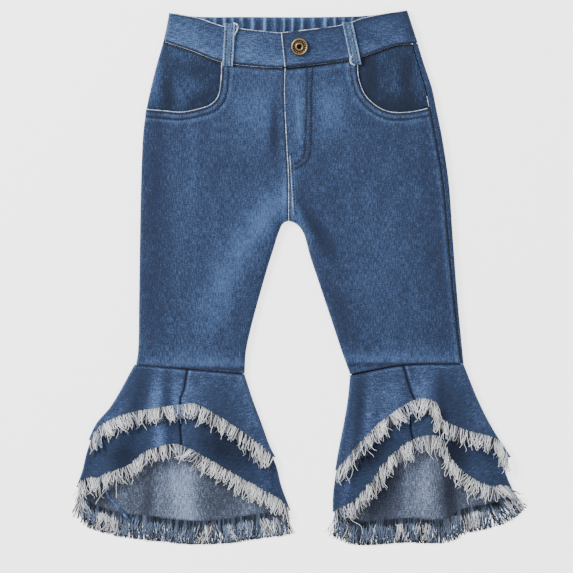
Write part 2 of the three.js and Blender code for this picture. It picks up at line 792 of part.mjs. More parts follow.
// A belt loop: a folded strip that lies on the band and bulges a little off it
function beltLoop(side) {
  const { topX, topDrop, footX, footDrop } = BELT_LOOPS[side];
  const onBand = BAND_LEVEL + BAND_DENIM / 2 + SEAM_GAP + LOOP_DENIM / 2;
  const onPanel = FRONT_LEVEL + DENIM / 2 + SEAM_GAP + LOOP_DENIM / 2;
  const along = [0, 0.08, 0.28, 0.5, 0.72, 0.93, 1];
  const grid = along.map((v) => [-1, 0, 1].map((u) => {
    const base = lerp(onBand, onPanel, smoothstep(v, 0.93, 1));
    const bulge = LOOP_BULGE * Math.sin(Math.PI * v) ** 2;
    const crown = 0.2 * (1 - u * u);
    const x = lerp(topX, footX, v) + (u * LOOP_WIDTH) / 2;
    return place(x, lerp(topDrop, footDrop, v), base + bulge + crown);
  }));
  return wall(grid, LOOP_DENIM, 1);
}

// Jeans tack button: a dished cap with a raised rim and a hollow stud in the middle
function button() {
  const { radius, height } = BUTTON;
  const profile = [
    [0, 0], [radius - 1.1, 0], [radius, 0.9], [radius, height - 1.2], [radius - 0.8, height - 0.3],
    [radius - 2, height], [radius - 3.6, height - 0.5], [radius - 4.2, height - 0.9],
    [radius - 4.6, height - 0.3], [radius - 5.6, height - 0.2], [radius - 6.2, height - 1.5], [0, height - 1.6],
  ].map(([r, z]) => new THREE.Vector2(r, z));
  const base = BAND_LEVEL + LAP.rise + BAND_DENIM / 2 + SEAM_GAP;
  const { x, y, z } = place(BUTTON.x, BUTTON.drop, base);
  return new THREE.LatheGeometry(profile, 22).rotateX(Math.PI / 2).translate(x, y, z);
}

// Heights of both faces of both flounces of a leg at any place in plan
function flareLevels(side) {
  const { knee, lower, upper, folds, backFolds } = FLARES[side];
  const west = reader(lower.westEdge, 'drop', 'x');
  const east = reader(lower.eastEdge, 'drop', 'x');
  const kneeDrop = reader(knee, 'x', 'drop');
  const underHem = reader(upper.backHem, 'x', 'drop');
  const inside = (x, drop) => Math.min(x - west(drop), east(drop) - x) - 3;
  const foldHeight = (rows, x, drop) => rows.reduce((height, fold) => {
    const down = (drop - knee[1].drop) / (FLARE_LEVELS.hemDrop - knee[1].drop);
    const past = x - lerp(fold.knee, fold.hem, down);
    const away = Math.min(Math.abs(past) / (past < 0 ? fold.west : fold.east), 1);
    return height + fold.rise * (0.5 + 0.5 * Math.cos(Math.PI * away));
  }, 0);
  const grown = (x, drop) => smoothstep(drop, kneeDrop(x), FLARE_LEVELS.hemDrop);
  const front = (x, drop) => {
    const growth = grown(x, drop);
    const edge = lerp(FRONT_LEVEL, FLARE_LEVELS.side, growth);
    const middle = lerp(FRONT_LEVEL, FLARE_LEVELS.middle, growth);
    const body = lerp(edge, middle, smoothstep(inside(x, drop), 0, FLARE_LEVELS.shoulder));
    const fade = smoothstep(inside(x, drop), 0, 12);
    return body + foldHeight(folds, x, drop) * growth * fade;
  };
  const slope = (x, drop) => Math.hypot(
    front(x + 1, drop) - front(x - 1, drop),
    front(x, drop + 1) - front(x, drop - 1),
  ) / 2;
  const tierStep = FLOUNCE_DENIM + SEAM_GAP;
  const floor = FLOUNCE_DENIM / 2;
  return {
    upper: { front, back: () => floor },
    lower: {
      front: (x, drop) => {
        const step = tierStep + TIER_GAP * grown(x, drop);
        return front(x, drop) - step * Math.hypot(1, slope(x, drop));
      },
      back: (x, drop) => {
        const clear = underHem(x) + UNDER_FRINGE.reach;
        const settled = smoothstep(drop, clear, clear + UNDER_FRINGE.settle);
        const growth = smoothstep(drop, BACK_FOLDS.from, BACK_FOLDS.to);
        const fade = smoothstep(inside(x, drop), 0, 10);
        return floor + tierStep * (1 - settled) + foldHeight(backFolds, x, drop) * growth * fade;
      },
    },
  };
}
const levels = { left: flareLevels('left'), right: flareLevels('right') };

// One half of a flounce: from the centre front round the side to the centre back
const TIER_ROWS = { upper: 5, lower: 7 };
function flounceHalf(side, tier, half) {
  const shape = FLARES[side];
  const { front, back } = levels[side][tier];
  const edges = { west: line(shape[tier].westEdge), east: line(shape[tier].eastEdge) };
  const inward = { west: 1, east: -1 };
  const turn = ({ x, y }) => (front(x, y) - back(x, y)) / 2;
  const tangent = (edge) => (share) => {
    const point = edges[edge](share);
    point.x += inward[edge] * turn(point);
    return point;
  };
  const top = moved(kneeSeam[side], () => 0, KNEE_GAP[tier]);
  const frontColumns = shares(shape.seamShare, half === 'west' ? 0 : 1, FRONT_COLUMNS);
  const backColumns = shares(half === 'west' ? 0 : 1, 0.5, BACK_COLUMNS[tier]);
  const down = shares(0, 1, TIER_ROWS[tier]);
  const fill = (hem, across) => (
    patch(top, line(hem), tangent('west'), tangent('east'), across, down));
  const frontPlan = fill(shape[tier].hem, frontColumns);
  const backPlan = fill(shape[tier].backHem, backColumns);
  return down.map((_, r) => {
    frontPlan[r][0].x -= inward[half] * (SEAM_GAP / 2);
    backPlan[r].at(-1).x -= inward[half] * (SEAM_GAP / 2);
    const edge = frontPlan[r].at(-1);
    const radius = (front(edge.x, edge.y) - back(edge.x, edge.y)) / 2;
    const middle = (front(edge.x, edge.y) + back(edge.x, edge.y)) / 2;
    return [
      ...frontPlan[r].map(({ x, y }) => place(x, y, front(x, y))),
      ...TURN_ANGLES.map((angle) => place(
        edge.x - inward[half] * radius * Math.sin(angle),
        edge.y,
        middle + radius * Math.cos(angle),
      )),
      ...backPlan[r].map(({ x, y }) => place(x, y, back(x, y))),
    ];
  });
}

// A repeatable uneven number from 0 to 1 for each lock
const uneven = (k) => {
  const value = Math.sin(k * 12.9898) * 43758.5453;
  return value - Math.floor(value);
};

// Where a frayed strip is divided: at each hem point, and at both sides of each lock's root
function fringeStops(hem, size, seed) {
  const stops = [];
  for (let i = 0; i < hem.length - 1; i += 1) {
    const length = hem[i].distanceTo(hem[i + 1]);
    const half = Math.min(size.width / length, 0.7) / 2;
    const middle = 0.5 + 0.2 * (uneven(seed + i) - 0.5);
    stops.push({ i, t: 0 });
    if (length > size.width) stops.push({ i, t: middle - half, root: true }, { i, t: middle + half });
  }
  stops.push({ i: hem.length - 2, t: 1 });
  return stops;
}

// A frayed edge: a narrow strip parted from a hem, and one tapered lock of four sides beyond
// it for each stretch of the hem. The hem runs from left to right with the cloth above it;
// lean gives a lock's sideways lean at any x.
function fringe(hem, size, height, lean, seed) {
  const out = hem.map((_, i) => {
    const along = hem[Math.min(i + 1, hem.length - 1)].clone().sub(hem[Math.max(i - 1, 0)]);
    return new THREE.Vector3(along.y, -along.x, 0).normalize();
  });
  const stops = fringeStops(hem, size, seed);
  const steep = ({ x }) => smoothstep(Math.abs(x), STEEP_HEM.from, STEEP_HEM.to);
  const at = ({ i, t }, reach) => {
    const away = out[i].clone().lerp(out[i + 1], t);
    return hem[i].clone().lerp(hem[i + 1], t)
      .addScaledVector(away, reach + STEEP_HEM.gap * steep(away));
  };

  const points = [];
  const halfStrip = FRINGE_STRIP.thickness / 2;
  for (const stop of stops) {
    for (const reach of [FRINGE_GAP, FRINGE_GAP + FRINGE_STRIP.width]) {
      const point = at(stop, reach);
      const z = Math.max(point.z, halfStrip + FLOOR_CLEARANCE);
      points.push(point.clone().setZ(z + halfStrip), point.clone().setZ(z - halfStrip));
    }
  }
  const corner = (column, row, under) => column * 4 + row * 2 + under;
  const triangles = [];
  const quad = (a, b, c, d) => triangles.push([a, b, c], [a, c, d]);

  const lock = (root, stop, c) => {
    const centre = root.reduce((sum, k) => sum.add(points[k]), new THREE.Vector3()).divideScalar(4);
    const away = out[stop.i].clone();
    const hang = lerp(size.hang, 1, steep(away));
    away.multiplyScalar(1 - hang);
    away.add(new THREE.Vector3(lean(centre.x + CENTRE.x), -hang, 0)).normalize();
    away.applyAxisAngle(new THREE.Vector3(0, 0, 1), LOCK_TURN * (uneven(seed + c) - 0.5));
    const length = size.length + size.spread * (uneven(seed + c + 0.5) - 0.5);
    const along = (share) => {
      const point = centre.clone().addScaledVector(away, share * length);
      return point.setZ(height(point.x + CENTRE.x, CENTRE.drop - point.y, share));
    };
    const bend = along(LOCK_BEND);
    const first = points.length;
    for (const k of root) {
      const offset = points[k].clone().sub(centre).multiplyScalar(LOCK_TAPER);
      const thick = Math.sign(offset.z) * (size.thickness / 2);
      points.push(bend.clone().add(offset.setZ(0)).setZ(bend.z + thick));
    }
    points.push(along(1));
    root.forEach((k, j) => {
      const next = (j + 1) % 4;
      quad(k, root[next], first + next, first + j);
      triangles.push([first + j, first + next, first + 4]);
    });
  };

  stops.slice(0, -1).forEach((stop, c) => {
    quad(corner(c, 0, 0), corner(c, 1, 0), corner(c + 1, 1, 0), corner(c + 1, 0, 0));
    quad(corner(c, 0, 1), corner(c + 1, 0, 1), corner(c + 1, 1, 1), corner(c, 1, 1));
    quad(corner(c, 0, 0), corner(c + 1, 0, 0), corner(c + 1, 0, 1), corner(c, 0, 1));
    const root = [corner(c, 1, 0), corner(c, 1, 1), corner(c + 1, 1, 1), corner(c + 1, 1, 0)];
    if (stop.root) lock(root, stop, c);
    else quad(...root);
  });
  const last = stops.length - 1;
  quad(corner(0, 0, 0), corner(0, 0, 1), corner(0, 1, 1), corner(0, 1, 0));
  quad(corner(last, 0, 0), corner(last, 1, 0), corner(last, 1, 1), corner(last, 0, 1));
  return closed(points, triangles);
}

for (const side of ['left', 'right']) {
  add(`front_panel_${side}`, frontPanel(side), 'denim');
  add(`back_panel_${side}`, backPanel(side), 'denim');
  add(`pocket_facing_${side}`, pocketFacing(side), 'facing');
  add(`waistband_front_${side}`, frontBand(side), 'band');
  add(`belt_loop_${side}`, beltLoop(side), 'loop');
}
add('waistband_back', backBand(), 'band');
add('button', button(), 'brass');

const halfNames = {
  left: { west: 'outer', east: 'inner' },
  right: { west: 'inner', east: 'outer' },
};
for (const side of ['left', 'right']) {
  for (const tier of ['upper', 'lower']) {
    const west = flounceHalf(side, tier, 'west');
    const east = flounceHalf(side, tier, 'east');
    add(`${tier}_flounce_${side}_${halfNames[side].west}`, wall(west, FLOUNCE_DENIM, -1), 'flounce');
    add(`${tier}_flounce_${side}_${halfNames[side].east}`, wall(east, FLOUNCE_DENIM, 1), 'flounce');

    // The hem's points from left to right over the front, and the same under the back
    const span = { front: [0, FRONT_COLUMNS + 1], back: [FRONT_COLUMNS + 1 + TURN_ANGLES.length] };
    for (const face of ['front', 'back']) {
      const [fromWest, fromEast] = [west, east].map((grid) => grid.at(-1).slice(...span[face]));
      const hem = face === 'front'
        ? [...fromWest.reverse(), ...fromEast.slice(1)]
        : [...fromWest, ...fromEast.reverse().slice(1)];
      const size = FRINGES[`${tier}_${face}`];
      const level = levels[side][tier][face];
      const height = (x, drop, along) => Math.max(level(x, drop) + size.lift * along, size.floor);
      const bend = CORNER_LEAN[side];
      const lean = (x) => (tier === 'lower'
        ? bend.lean * (1 - smoothstep(Math.abs(x - bend.x), bend.near, bend.far)) : 0);
      const seed = FRINGE_SEEDS[side] + size.length;
      add(`fringe_${tier}_${face}_${side}`, fringe(hem, size, height, lean, seed), 'fringe');
    }
  }
}

export default garment;
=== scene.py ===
import bpy
import numpy as np
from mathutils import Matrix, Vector


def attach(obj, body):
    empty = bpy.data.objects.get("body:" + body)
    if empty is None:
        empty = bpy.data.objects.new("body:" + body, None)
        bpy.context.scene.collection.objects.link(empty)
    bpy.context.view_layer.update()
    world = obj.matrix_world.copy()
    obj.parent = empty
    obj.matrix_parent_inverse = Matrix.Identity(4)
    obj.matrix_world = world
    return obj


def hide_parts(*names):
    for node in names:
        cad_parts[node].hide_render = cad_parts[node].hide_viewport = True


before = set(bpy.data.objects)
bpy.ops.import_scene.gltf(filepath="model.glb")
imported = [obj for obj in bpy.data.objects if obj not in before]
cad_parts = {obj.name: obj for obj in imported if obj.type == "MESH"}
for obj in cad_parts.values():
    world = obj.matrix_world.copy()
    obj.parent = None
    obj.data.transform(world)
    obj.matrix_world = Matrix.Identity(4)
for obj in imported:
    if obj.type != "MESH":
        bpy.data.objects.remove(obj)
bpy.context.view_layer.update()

chance = np.random.default_rng(20261)

MM = 0.001
CENTRE_X = 14.5
CENTRE_DROP = 268.5

# Camera: straight above, high enough that the garment shows without perspective
FRAME_WIDTH = 573.0
CAMERA_HEIGHT = 6000.0
CAMERA_X = 0.0
CAMERA_DROP = 276.5
SENSOR = 36.0


def make_camera():
    """Sets the lens so that the frame is as wide as stated at the height of the floor."""
    data = bpy.data.cameras.new("camera")
    data.sensor_width = SENSOR
    data.lens = SENSOR * CAMERA_HEIGHT / FRAME_WIDTH
    data.clip_end = 20.0
    camera = bpy.data.objects.new("camera", data)
    camera.location = (
        (CAMERA_X - CENTRE_X) * MM,
        (CENTRE_DROP - CAMERA_DROP) * MM,
        CAMERA_HEIGHT * MM,
    )
    bpy.context.scene.collection.objects.link(camera)
    bpy.context.scene.camera = camera


make_camera()


# Helpers for tables and lines


def table(columns, *rows):
    return {name: np.array(values, float) for name, values in zip(columns.split(), zip(*rows))}


def ridge(away, width):
    """One on a line, falling softly to nothing on both sides of it."""
    return np.exp(-(away / width) ** 2)


def in_frame(x, drop, z):
    """Points of the frame, still in millimetres, from places in the tables."""
    return np.stack([x - CENTRE_X, CENTRE_DROP - drop, z], axis=-1)


def smooth(value, low, high):
    share = np.clip((value - low) / (high - low), 0.0, 1.0)
    return share * share * (3 - 2 * share)


def mix(start, end, share):
    return start + (end - start) * share


def reader(rows, by, of):
    """Reads one column of a table smoothly at any value of another column."""
    at, value = rows[by], rows[of]
    step = np.arange(len(at))
    before = np.maximum(step - 1, 0)
    after = np.minimum(step + 1, len(at) - 1)
    slope = (value[after] - value[before]) / (at[after] - at[before])

    def read(place):
        place = np.clip(place, at[0], at[-1])
        k = np.clip(np.searchsorted(at, place) - 1, 0, len(at) - 2)
        span = at[k + 1] - at[k]
        t = (place - at[k]) / span
        bend = t * t * (3 - 2 * t)
        leave = span * slope[k] * t * (1 - t) ** 2
        arrive = span * slope[k + 1] * t * t * (1 - t)
        return mix(value[k], value[k + 1], bend) + leave - arrive

    return read


def smooth_points(points, steps=40):
    """Points close together along a centripetal spline through the given ones."""
    ends = np.vstack([2 * points[0] - points[1], points, 2 * points[-1] - points[-2]])
    found = []
    for k in range(1, len(ends) - 2):
        p0, p1, p2, p3 = ends[k - 1:k + 3]
        d0, d1, d2 = (np.linalg.norm(b - a) ** 0.5 for a, b in ((p0, p1), (p1, p2), (p2, p3)))
        leave = ((p1 - p0) / d0 - (p2 - p0) / (d0 + d1) + (p2 - p1) / d1) * d1
        arrive = ((p2 - p1) / d1 - (p3 - p1) / (d1 + d2) + (p3 - p2) / d2) * d1
        t = np.linspace(0, 1, steps, endpoint=False)[:, None]
        found.append(
            p1 + leave * t + (3 * (p2 - p1) - 2 * leave - arrive) * t ** 2
            + (2 * (p1 - p2) + leave + arrive) * t ** 3
        )
    return np.vstack([*found, points[-1:]])


def by_length(points):
    """A line through close points, read by its share of length."""
    steps = np.linalg.norm(np.diff(points, axis=0), axis=1)
    length = np.concatenate([[0.0], np.cumsum(steps)])

    def read(share):
        at = np.clip(share, 0, 1) * length[-1]
        return np.stack([np.interp(at, length, column) for column in points.T], axis=-1)

    read.length = length[-1]
    return read


def line(rows):
    return by_length(smooth_points(np.column_stack([rows["x"], rows["drop"]])))


def joined(first, second, share):
    """Two lines end to end, the first taking the given share."""
    def read(at):
        at = np.asarray(at, float)
        before = first(at / share)
        beyond = second((at - share) / (1 - share))
        return np.where(at[..., None] <= share, before, beyond)

    return read


def moved(path, dx, ddrop):
    return lambda at: path(at) + np.array([dx, ddrop])


def patch(top, bottom, west, east, across, down):
    """Fills four border lines with rows of plan points."""
    u, v = across[None, :, None], down[:, None, None]
    ends = np.array([0.0, 1.0])
    (a, b), (c, d) = top(ends), bottom(ends)
    return (
        top(across)[None] * (1 - v) + bottom(across)[None] * v
        + west(down)[:, None] * (1 - u) + east(down)[:, None] * u
        - a * (1 - u) * (1 - v) - b * u * (1 - v) - c * (1 - u) * v - d * u * v
    )


def spaced(count, close=0.004, start=0.0, end=1.0):
    """Even shares with close steps at both ends, so that an edge stays crisp."""
    even = np.linspace(3 * close, 1 - 3 * close, count)
    return mix(start, end, np.concatenate([[0, close], even, [1 - close, 1]]))


def signed_distance(points, x, drop):
    """Distance from plan places to a chain of points, positive on one side of it."""
    a, b = points[:-1], points[1:]
    span = b - a
    flat = np.stack([np.ravel(x), np.ravel(drop)], axis=-1)
    best = np.full(len(flat), np.inf)
    for start, step in zip(a, span):
        away = flat - start
        t = np.clip(away @ step / max(step @ step, 1e-9), 0, 1)
        off = away - t[:, None] * step
        side = np.where(step[0] * away[:, 1] < step[1] * away[:, 0], -1.0, 1.0)
        near = np.hypot(off[:, 0], off[:, 1])
        closer = near < np.abs(best)
        best = np.where(closer, near * side, best)
    return best.reshape(np.shape(x))


def chain(path, count):
    return path(np.linspace(0, 1, count + 1))


# The garment's tables

# Thickness of the legs' cloth, of the flounces' and of the doubled waistband
DENIM = 1.2
FLOUNCE_DENIM = 1.0
BAND_DENIM = 1.5
# Room left at a sewn seam, at the waist's two ends and at the hidden backs of the flounces
SEAM_GAP = 0.3
WAIST_GAP = 0.2
BACK_SEAM_GAP = 0.04
# How far the front reaches up behind the waistband
WAIST_TUCK = 1.4
# Width over which front and back draw together at the inside leg
NOTCH_ROUNDING = 5.0
# The legs and the band are flat tubes: cloth, height of the middle, radius of the turned side
BODY = {"cloth": 1.2, "middle": 3.4, "turn": 2.8}
BAND = {"cloth": 1.5, "middle": 4.3, "turn": 3.55}
FRONT_LEVEL = 6.2
BAND_LEVEL = 7.85
SIDES = ("left", "right")
SIGN = {"left": -1, "right": 1}

# The legs' outer edges, and how far the right side seam lies in from its edge
OUTLINE = table(
    "drop left right",
    (0, -116.5, 120.5), (31, -123.0, 130.5), (54, -129.5, 137.5), (78, -135.5, 145.5),
    (102, -140.5, 150.5), (126, -143.5, 155.5), (174, -145.5, 162.5), (222, -146.5, 166.0),
    (294, -147.5, 171.5), (342, -148.5, 176.0), (366, -153.0, 178.5),
)
SIDE_SEAM_INSET = table(
    "drop left right", (0, 0, 4.0), (97, 0, 6.0), (230, 0, 4.0), (366, 0, 1.5),
)
# Seam lines of the legs, from the waist down
CROTCH = (2.0, 210.5)
INSEAM = {
    "left": table(
        "x drop", CROTCH, (-3.8, 213), (-8.2, 222), (-16.1, 246), (-23.1, 270),
        (-36.1, 318), (-41.1, 342), (-42.3, 363.6),
    ),
    "right": table(
        "x drop", CROTCH, (9.6, 213), (17.1, 222), (24.1, 246), (32.1, 270),
        (48.1, 318), (56.1, 342), (64.1, 364),
    ),
}
CENTRE_FRONT = table("x drop", (-1.5, 57.5), (-2.2, 80), (0, 134), (1.8, 165), CROTCH)
CENTRE_BACK = table("x drop", (2, 41), (2, 126), CROTCH)
BACK_TOP = {
    "left": table("x drop", (-123.2, 31.3), (-55, 39), (2, 41)),
    "right": table("x drop", (131.3, 33.3), (65, 39), (2, 41)),
}
WAIST_SEAM = {
    "left": table("x drop", (-123.5, 31), (-96, 40), (-65.5, 51.5), (-33.5, 56), (-1.5, 57.6)),
    "right": table("x drop", (130.5, 33), (106.5, 36), (76.5, 46.5), (43.5, 52.5), (-1.5, 57.6)),
}
# Edges of the waistband, with the end that laps over the other
BAND_TOP = {
    "left": table("x drop", (-116.5, 3), (-89.5, 8), (-61.5, 17), (-47.5, 18.6), (-5, 23)),
    "right": table("x drop", (120.5, 0.5), (81.5, 7), (55.5, 15), (25, 19.5), (-5, 23)),
}
LAP_BAND = table("x drop", (17, 21.6), (17, 53.6))
LAP = {"end": 19, "slope": 22, "rise": BAND_DENIM + SEAM_GAP}
BACK_BAND_TOP = table(
    "x drop", (-116.5, 3), (-89.5, 6.6), (-40, 7), (40, 7), (81.5, 5.6), (120.5, 0.5),
)
BACK_BAND_FOOT = table("x drop", (-123.5, 31), (2, 39.8), (130.5, 33))
GATHERS = {"from": -98, "to": 92, "count": 19, "height": 1.3, "fade": 8}
# Pocket openings from the side seam to the waist, and how far the hip piece runs under them
POCKET = {
    "left": table(
        "x drop", (-140.5, 99.5), (-122.1, 101), (-104.8, 102.3), (-87.5, 99),
        (-76.1, 95), (-68.6, 87), (-65.4, 70), (-64.7, 51.7),
    ),
    "right": table(
        "x drop", (147, 96.5), (137, 99.6), (119.5, 102.5), (103.5, 102),
        (91.1, 97), (78.5, 85), (72, 68), (70.8, 48.1),
    ),
}
POCKET_TUCK = 9.0
FACING_DENIM = 1.0
BELT_LOOPS = {
    "left": {"top": (-56.5, 13.6), "foot": (-58.8, 56.4)},
    "right": {"top": (60.7, 12.6), "foot": (69.6, 54.6)},
}
LOOP_WIDTH = 10.2
LOOP_DENIM = 1.4
# The button's middle, and the height of its underside over the lapped bands
BUTTON = {"x": 12.9, "drop": 37.2, "base": 10.7}

# Soft creases of the body: a line from one end to the other, its rise and its half width
CREASES = table(
    "x1 drop1 x2 drop2 rise width",
    (-6, 196, -72, 318, 1.3, 15),
    (9, 190, 40, 256, 1.1, 10),
    (50, 286, 66, 322, 0.8, 8),
    (-24, 84, -18, 134, 0.7, 5),
)
# Smaller creases that only the cloth's surface carries
FINE_CREASES = table(
    "x1 drop1 x2 drop2 rise width",
    (-10, 186, -34, 226, -0.55, 6),
    (-16, 236, -42, 276, 0.4, 8),
    (-60, 206, -78, 268, -0.35, 14),
    (-96, 232, -100, 330, 0.35, 16),
    (-124, 130, -128, 232, -0.3, 10),
    (14, 214, 46, 282, -0.5, 6),
    (46, 246, 74, 316, 0.45, 9),
    (98, 214, 112, 316, 0.35, 14),
    (74, 130, 96, 200, -0.3, 16),
    (-14, 96, -10, 138, -0.4, 4),
    (40, 74, 60, 110, 0.35, 9),
    (-44, 78, -62, 112, 0.35, 9),
    (6, 196, -20, 212, 0.35, 5),
    (-100, 344, -60, 352, 0.3, 6),
    (90, 348, 130, 344, 0.3, 6),
)

# How the flares rise from the knee to the hem at their sides and in their middle
FLARE_LEVELS = {"hem_drop": 432.0, "side": 7.2, "middle": 10.6, "shoulder": 26.0}
# Room between the two tiers, and between the knee seam and each tier
TIER_GAP = 1.5
KNEE_GAP = {"upper": 0.25, "lower": 1.4}
SEAM_SHARE = {"left": 0.48, "right": 0.47}
KNEE = {
    "left": table("x drop", (-151.5, 354.5), (-98.5, 359), (-42, 363.7)),
    "right": table("x drop", (63.5, 364.4), (116.9, 355), (176.5, 353.7)),
}
FLARES = {
    ("left", "upper"): {
        "west": table("x drop", (-151.5, 354.8), (-175, 396), (-190, 414), (-197.5, 430)),
        "east": table(
            "x drop", (-42.5, 364), (-34, 390), (-25, 414), (-17, 436), (-11.5, 447),
        ),
        "hem": table(
            "x drop", (-197.5, 430), (-186.5, 416), (-161.5, 405), (-136.5, 400),
            (-106.5, 396), (-91.5, 395), (-74.5, 403), (-46.5, 420), (-24.5, 436), (-11.5, 447),
        ),
        "back_hem": table(
            "x drop", (-197.5, 430), (-186, 443), (-156, 458), (-101, 466), (-46, 463),
            (-20, 456), (-11.5, 447),
        ),
    },
    ("left", "lower"): {
        "west": table(
            "x drop", (-150.2, 355.2), (-172.5, 396), (-187, 414), (-195.3, 431),
            (-200, 445), (-203.5, 460), (-209.5, 477),
        ),
        "east": table(
            "x drop", (-43.8, 364.6), (-36, 390), (-27, 414), (-18.5, 438),
            (-10.5, 456), (-5.5, 476), (3.5, 500),
        ),
        "hem": table(
            "x drop", (-209.5, 477), (-203, 469), (-191.5, 469), (-176.5, 463),
            (-156.5, 455), (-141.5, 443), (-128.5, 438), (-111.5, 435), (-96.5, 440),
            (-81.5, 448), (-51.5, 465), (-24.5, 480), (-6.5, 490), (3.5, 500),
        ),
        "back_hem": table(
            "x drop", (-209.5, 477), (-205, 488), (-196.5, 494), (-171.5, 502),
            (-136.5, 507), (-86.5, 511), (-61.5, 510), (-26.5, 505), (-8, 503), (3.5, 500),
        ),
    },
    ("right", "upper"): {
        "west": table("x drop", (64, 364.7), (61.5, 390), (57.5, 414), (52, 442), (49, 460)),
        "east": table(
            "x drop", (176.5, 354), (191, 390), (203, 414), (214.5, 433), (224, 447),
        ),
        "hem": table(
            "x drop", (49, 460), (93.5, 413), (123.5, 393), (133.5, 390), (146.5, 392),
            (153.5, 408), (183.5, 422), (213.5, 431), (224, 447),
        ),
        "back_hem": table(
            "x drop", (49, 460), (70, 466), (118.5, 469), (163.5, 466), (203.5, 458), (224, 447),
        ),
    },
    ("right", "lower"): {
        "west": table(
            "x drop", (65.3, 365.3), (63.5, 390), (59.5, 414), (54, 442), (49, 468),
            (46.8, 486), (46.5, 502),
        ),
        "east": table(
            "x drop", (175.2, 354.6), (188.5, 390), (200, 414), (210, 436), (216.5, 456),
            (220.5, 468), (225.5, 479),
        ),
        "hem": table(
            "x drop", (46.5, 502), (68.5, 490), (106.5, 445), (133.5, 428), (153, 428),
            (165, 451), (188.5, 470), (205, 477), (218, 477), (225.5, 479),
        ),
        "back_hem": table(
            "x drop", (46.5, 502), (68.5, 511), (93.5, 511), (120.5, 509), (158.5, 509),
            (173.5, 501), (203.5, 494), (218, 488), (225.5, 479),
        ),
    },
}
# Folds of the flares: the crest at the knee and at the hem, its rise, its two slopes' widths
FOLDS = {
    "left": table(
        "knee hem rise west east",
        (-147, -166, 3.4, 16, 18), (-128, -124, 5.0, 14, 13),
        (-95, -88, 4.6, 15, 30), (-50, -28, 3.4, 18, 15),
    ),
    "right": table(
        "knee hem rise west east",
        (68, 62, 3.2, 12, 11), (106, 108, 3.2, 26, 24),
        (143, 149, 6.4, 20, 11), (169, 190, 3.6, 18, 16),
    ),
}
BACK_FOLDS = {
    "left": table(
        "knee hem rise west east",
        (-150, -158, 3.6, 13, 18), (-95, -98, 5.6, 26, 34), (-50, -24, 3.2, 22, 14),
    ),
    "right": table(
        "knee hem rise west east",
        (76, 74, 3.0, 16, 18), (143, 150, 6.0, 26, 15), (170, 194, 3.4, 18, 18),
    ),
}
UNDER_FRINGE = {"reach": 18, "settle": 16}
BACK_FOLD_DROPS = (414, 498)


# The laid body

outline = {side: reader(OUTLINE, "drop", side) for side in SIDES}
seam_inset = {side: reader(SIDE_SEAM_INSET, "drop", side) for side in SIDES}
inseam = {side: line(INSEAM[side]) for side in SIDES}
notch = np.vstack([chain(inseam["left"], 90)[::-1], chain(inseam["right"], 90)[1:]])
knee_seam = {side: line(KNEE[side]) for side in SIDES}


def knee_from_side(side):
    if side == "left":
        return knee_seam["left"]
    return lambda share: knee_seam["right"](1 - np.asarray(share, float))


def notch_share(x, drop):
    near = np.minimum(np.abs(signed_distance(notch, x, drop)) / NOTCH_ROUNDING, 1)
    return np.sqrt(1 - (1 - near) ** 2)


def crease_height(rows, x, drop):
    height = np.zeros(np.shape(x))
    for x1, drop1, x2, drop2, rise, width in zip(*rows.values()):
        ends = np.array([[x1, drop1], [x2, drop2]])
        away = np.abs(signed_distance(ends, x, drop)) / width
        height += rise * np.exp(-away * away)
    return height


def tangent_x(layer, side, drop):
    return outline[side](drop) - SIGN[side] * (layer["cloth"] / 2 + layer["turn"])


def seam_reach(layer, side, drop):
    turn = layer["turn"]
    if layer is not BODY:
        return turn * np.pi / 2 * np.ones(np.shape(drop))
    inset = seam_inset[side](drop)
    around = turn * np.arcsin(np.clip(1 - inset / turn, 0, 1))
    return np.where(inset < turn, around, turn - inset)


def laid(layer, x, drop, face, lift=0.0):
    """Points of a tube of cloth laid flat. face is 1 for the front and -1 for the back."""
    west, east = tangent_x(layer, "left", drop), tangent_x(layer, "right", drop)
    past = np.maximum(west - x, x - east)
    middle, turn = layer["middle"], layer["turn"]
    half = SEAM_GAP / 2 + (turn - SEAM_GAP / 2) * notch_share(x, drop)
    crease = crease_height(CREASES, x, drop) * notch_share(x, drop) if face > 0 else 0.0
    flat_z = middle + face * (half + lift) + crease * (layer is BODY)
    side = np.where(x < west, -1, 1)
    centre = np.where(side < 0, west, east)
    angle = np.maximum(past, 0) / turn
    turned_x = centre + side * (turn + lift) * np.sin(angle)
    turned_z = middle + face * (turn + lift) * np.cos(angle)
    beyond_x = centre - side * (past - np.pi * turn)
    beyond_z = middle - face * (turn + lift)
    new_x = np.where(past <= 0, x, np.where(angle < np.pi, turned_x, beyond_x))
    new_z = np.where(past <= 0, flat_z, np.where(angle < np.pi, turned_z, beyond_z))
    return in_frame(new_x, drop, new_z)


def side_seam(layer, side, face, from_drop, to_drop):
    def read(share):
        drop = mix(from_drop, to_drop, np.asarray(share, float))
        reach = seam_reach(layer, side, drop)
        unrolled = reach if face > 0 else np.pi * layer["turn"] - reach
        x = tangent_x(layer, side, drop) + SIGN[side] * (unrolled - SEAM_GAP / 2)
        return np.stack([x, drop], axis=-1)
    return read


def share_at(path, x):
    shares = np.linspace(0, 1, 4001)
    return shares[np.argmin(np.abs(path(shares)[:, 0] - x))]


# Meshes


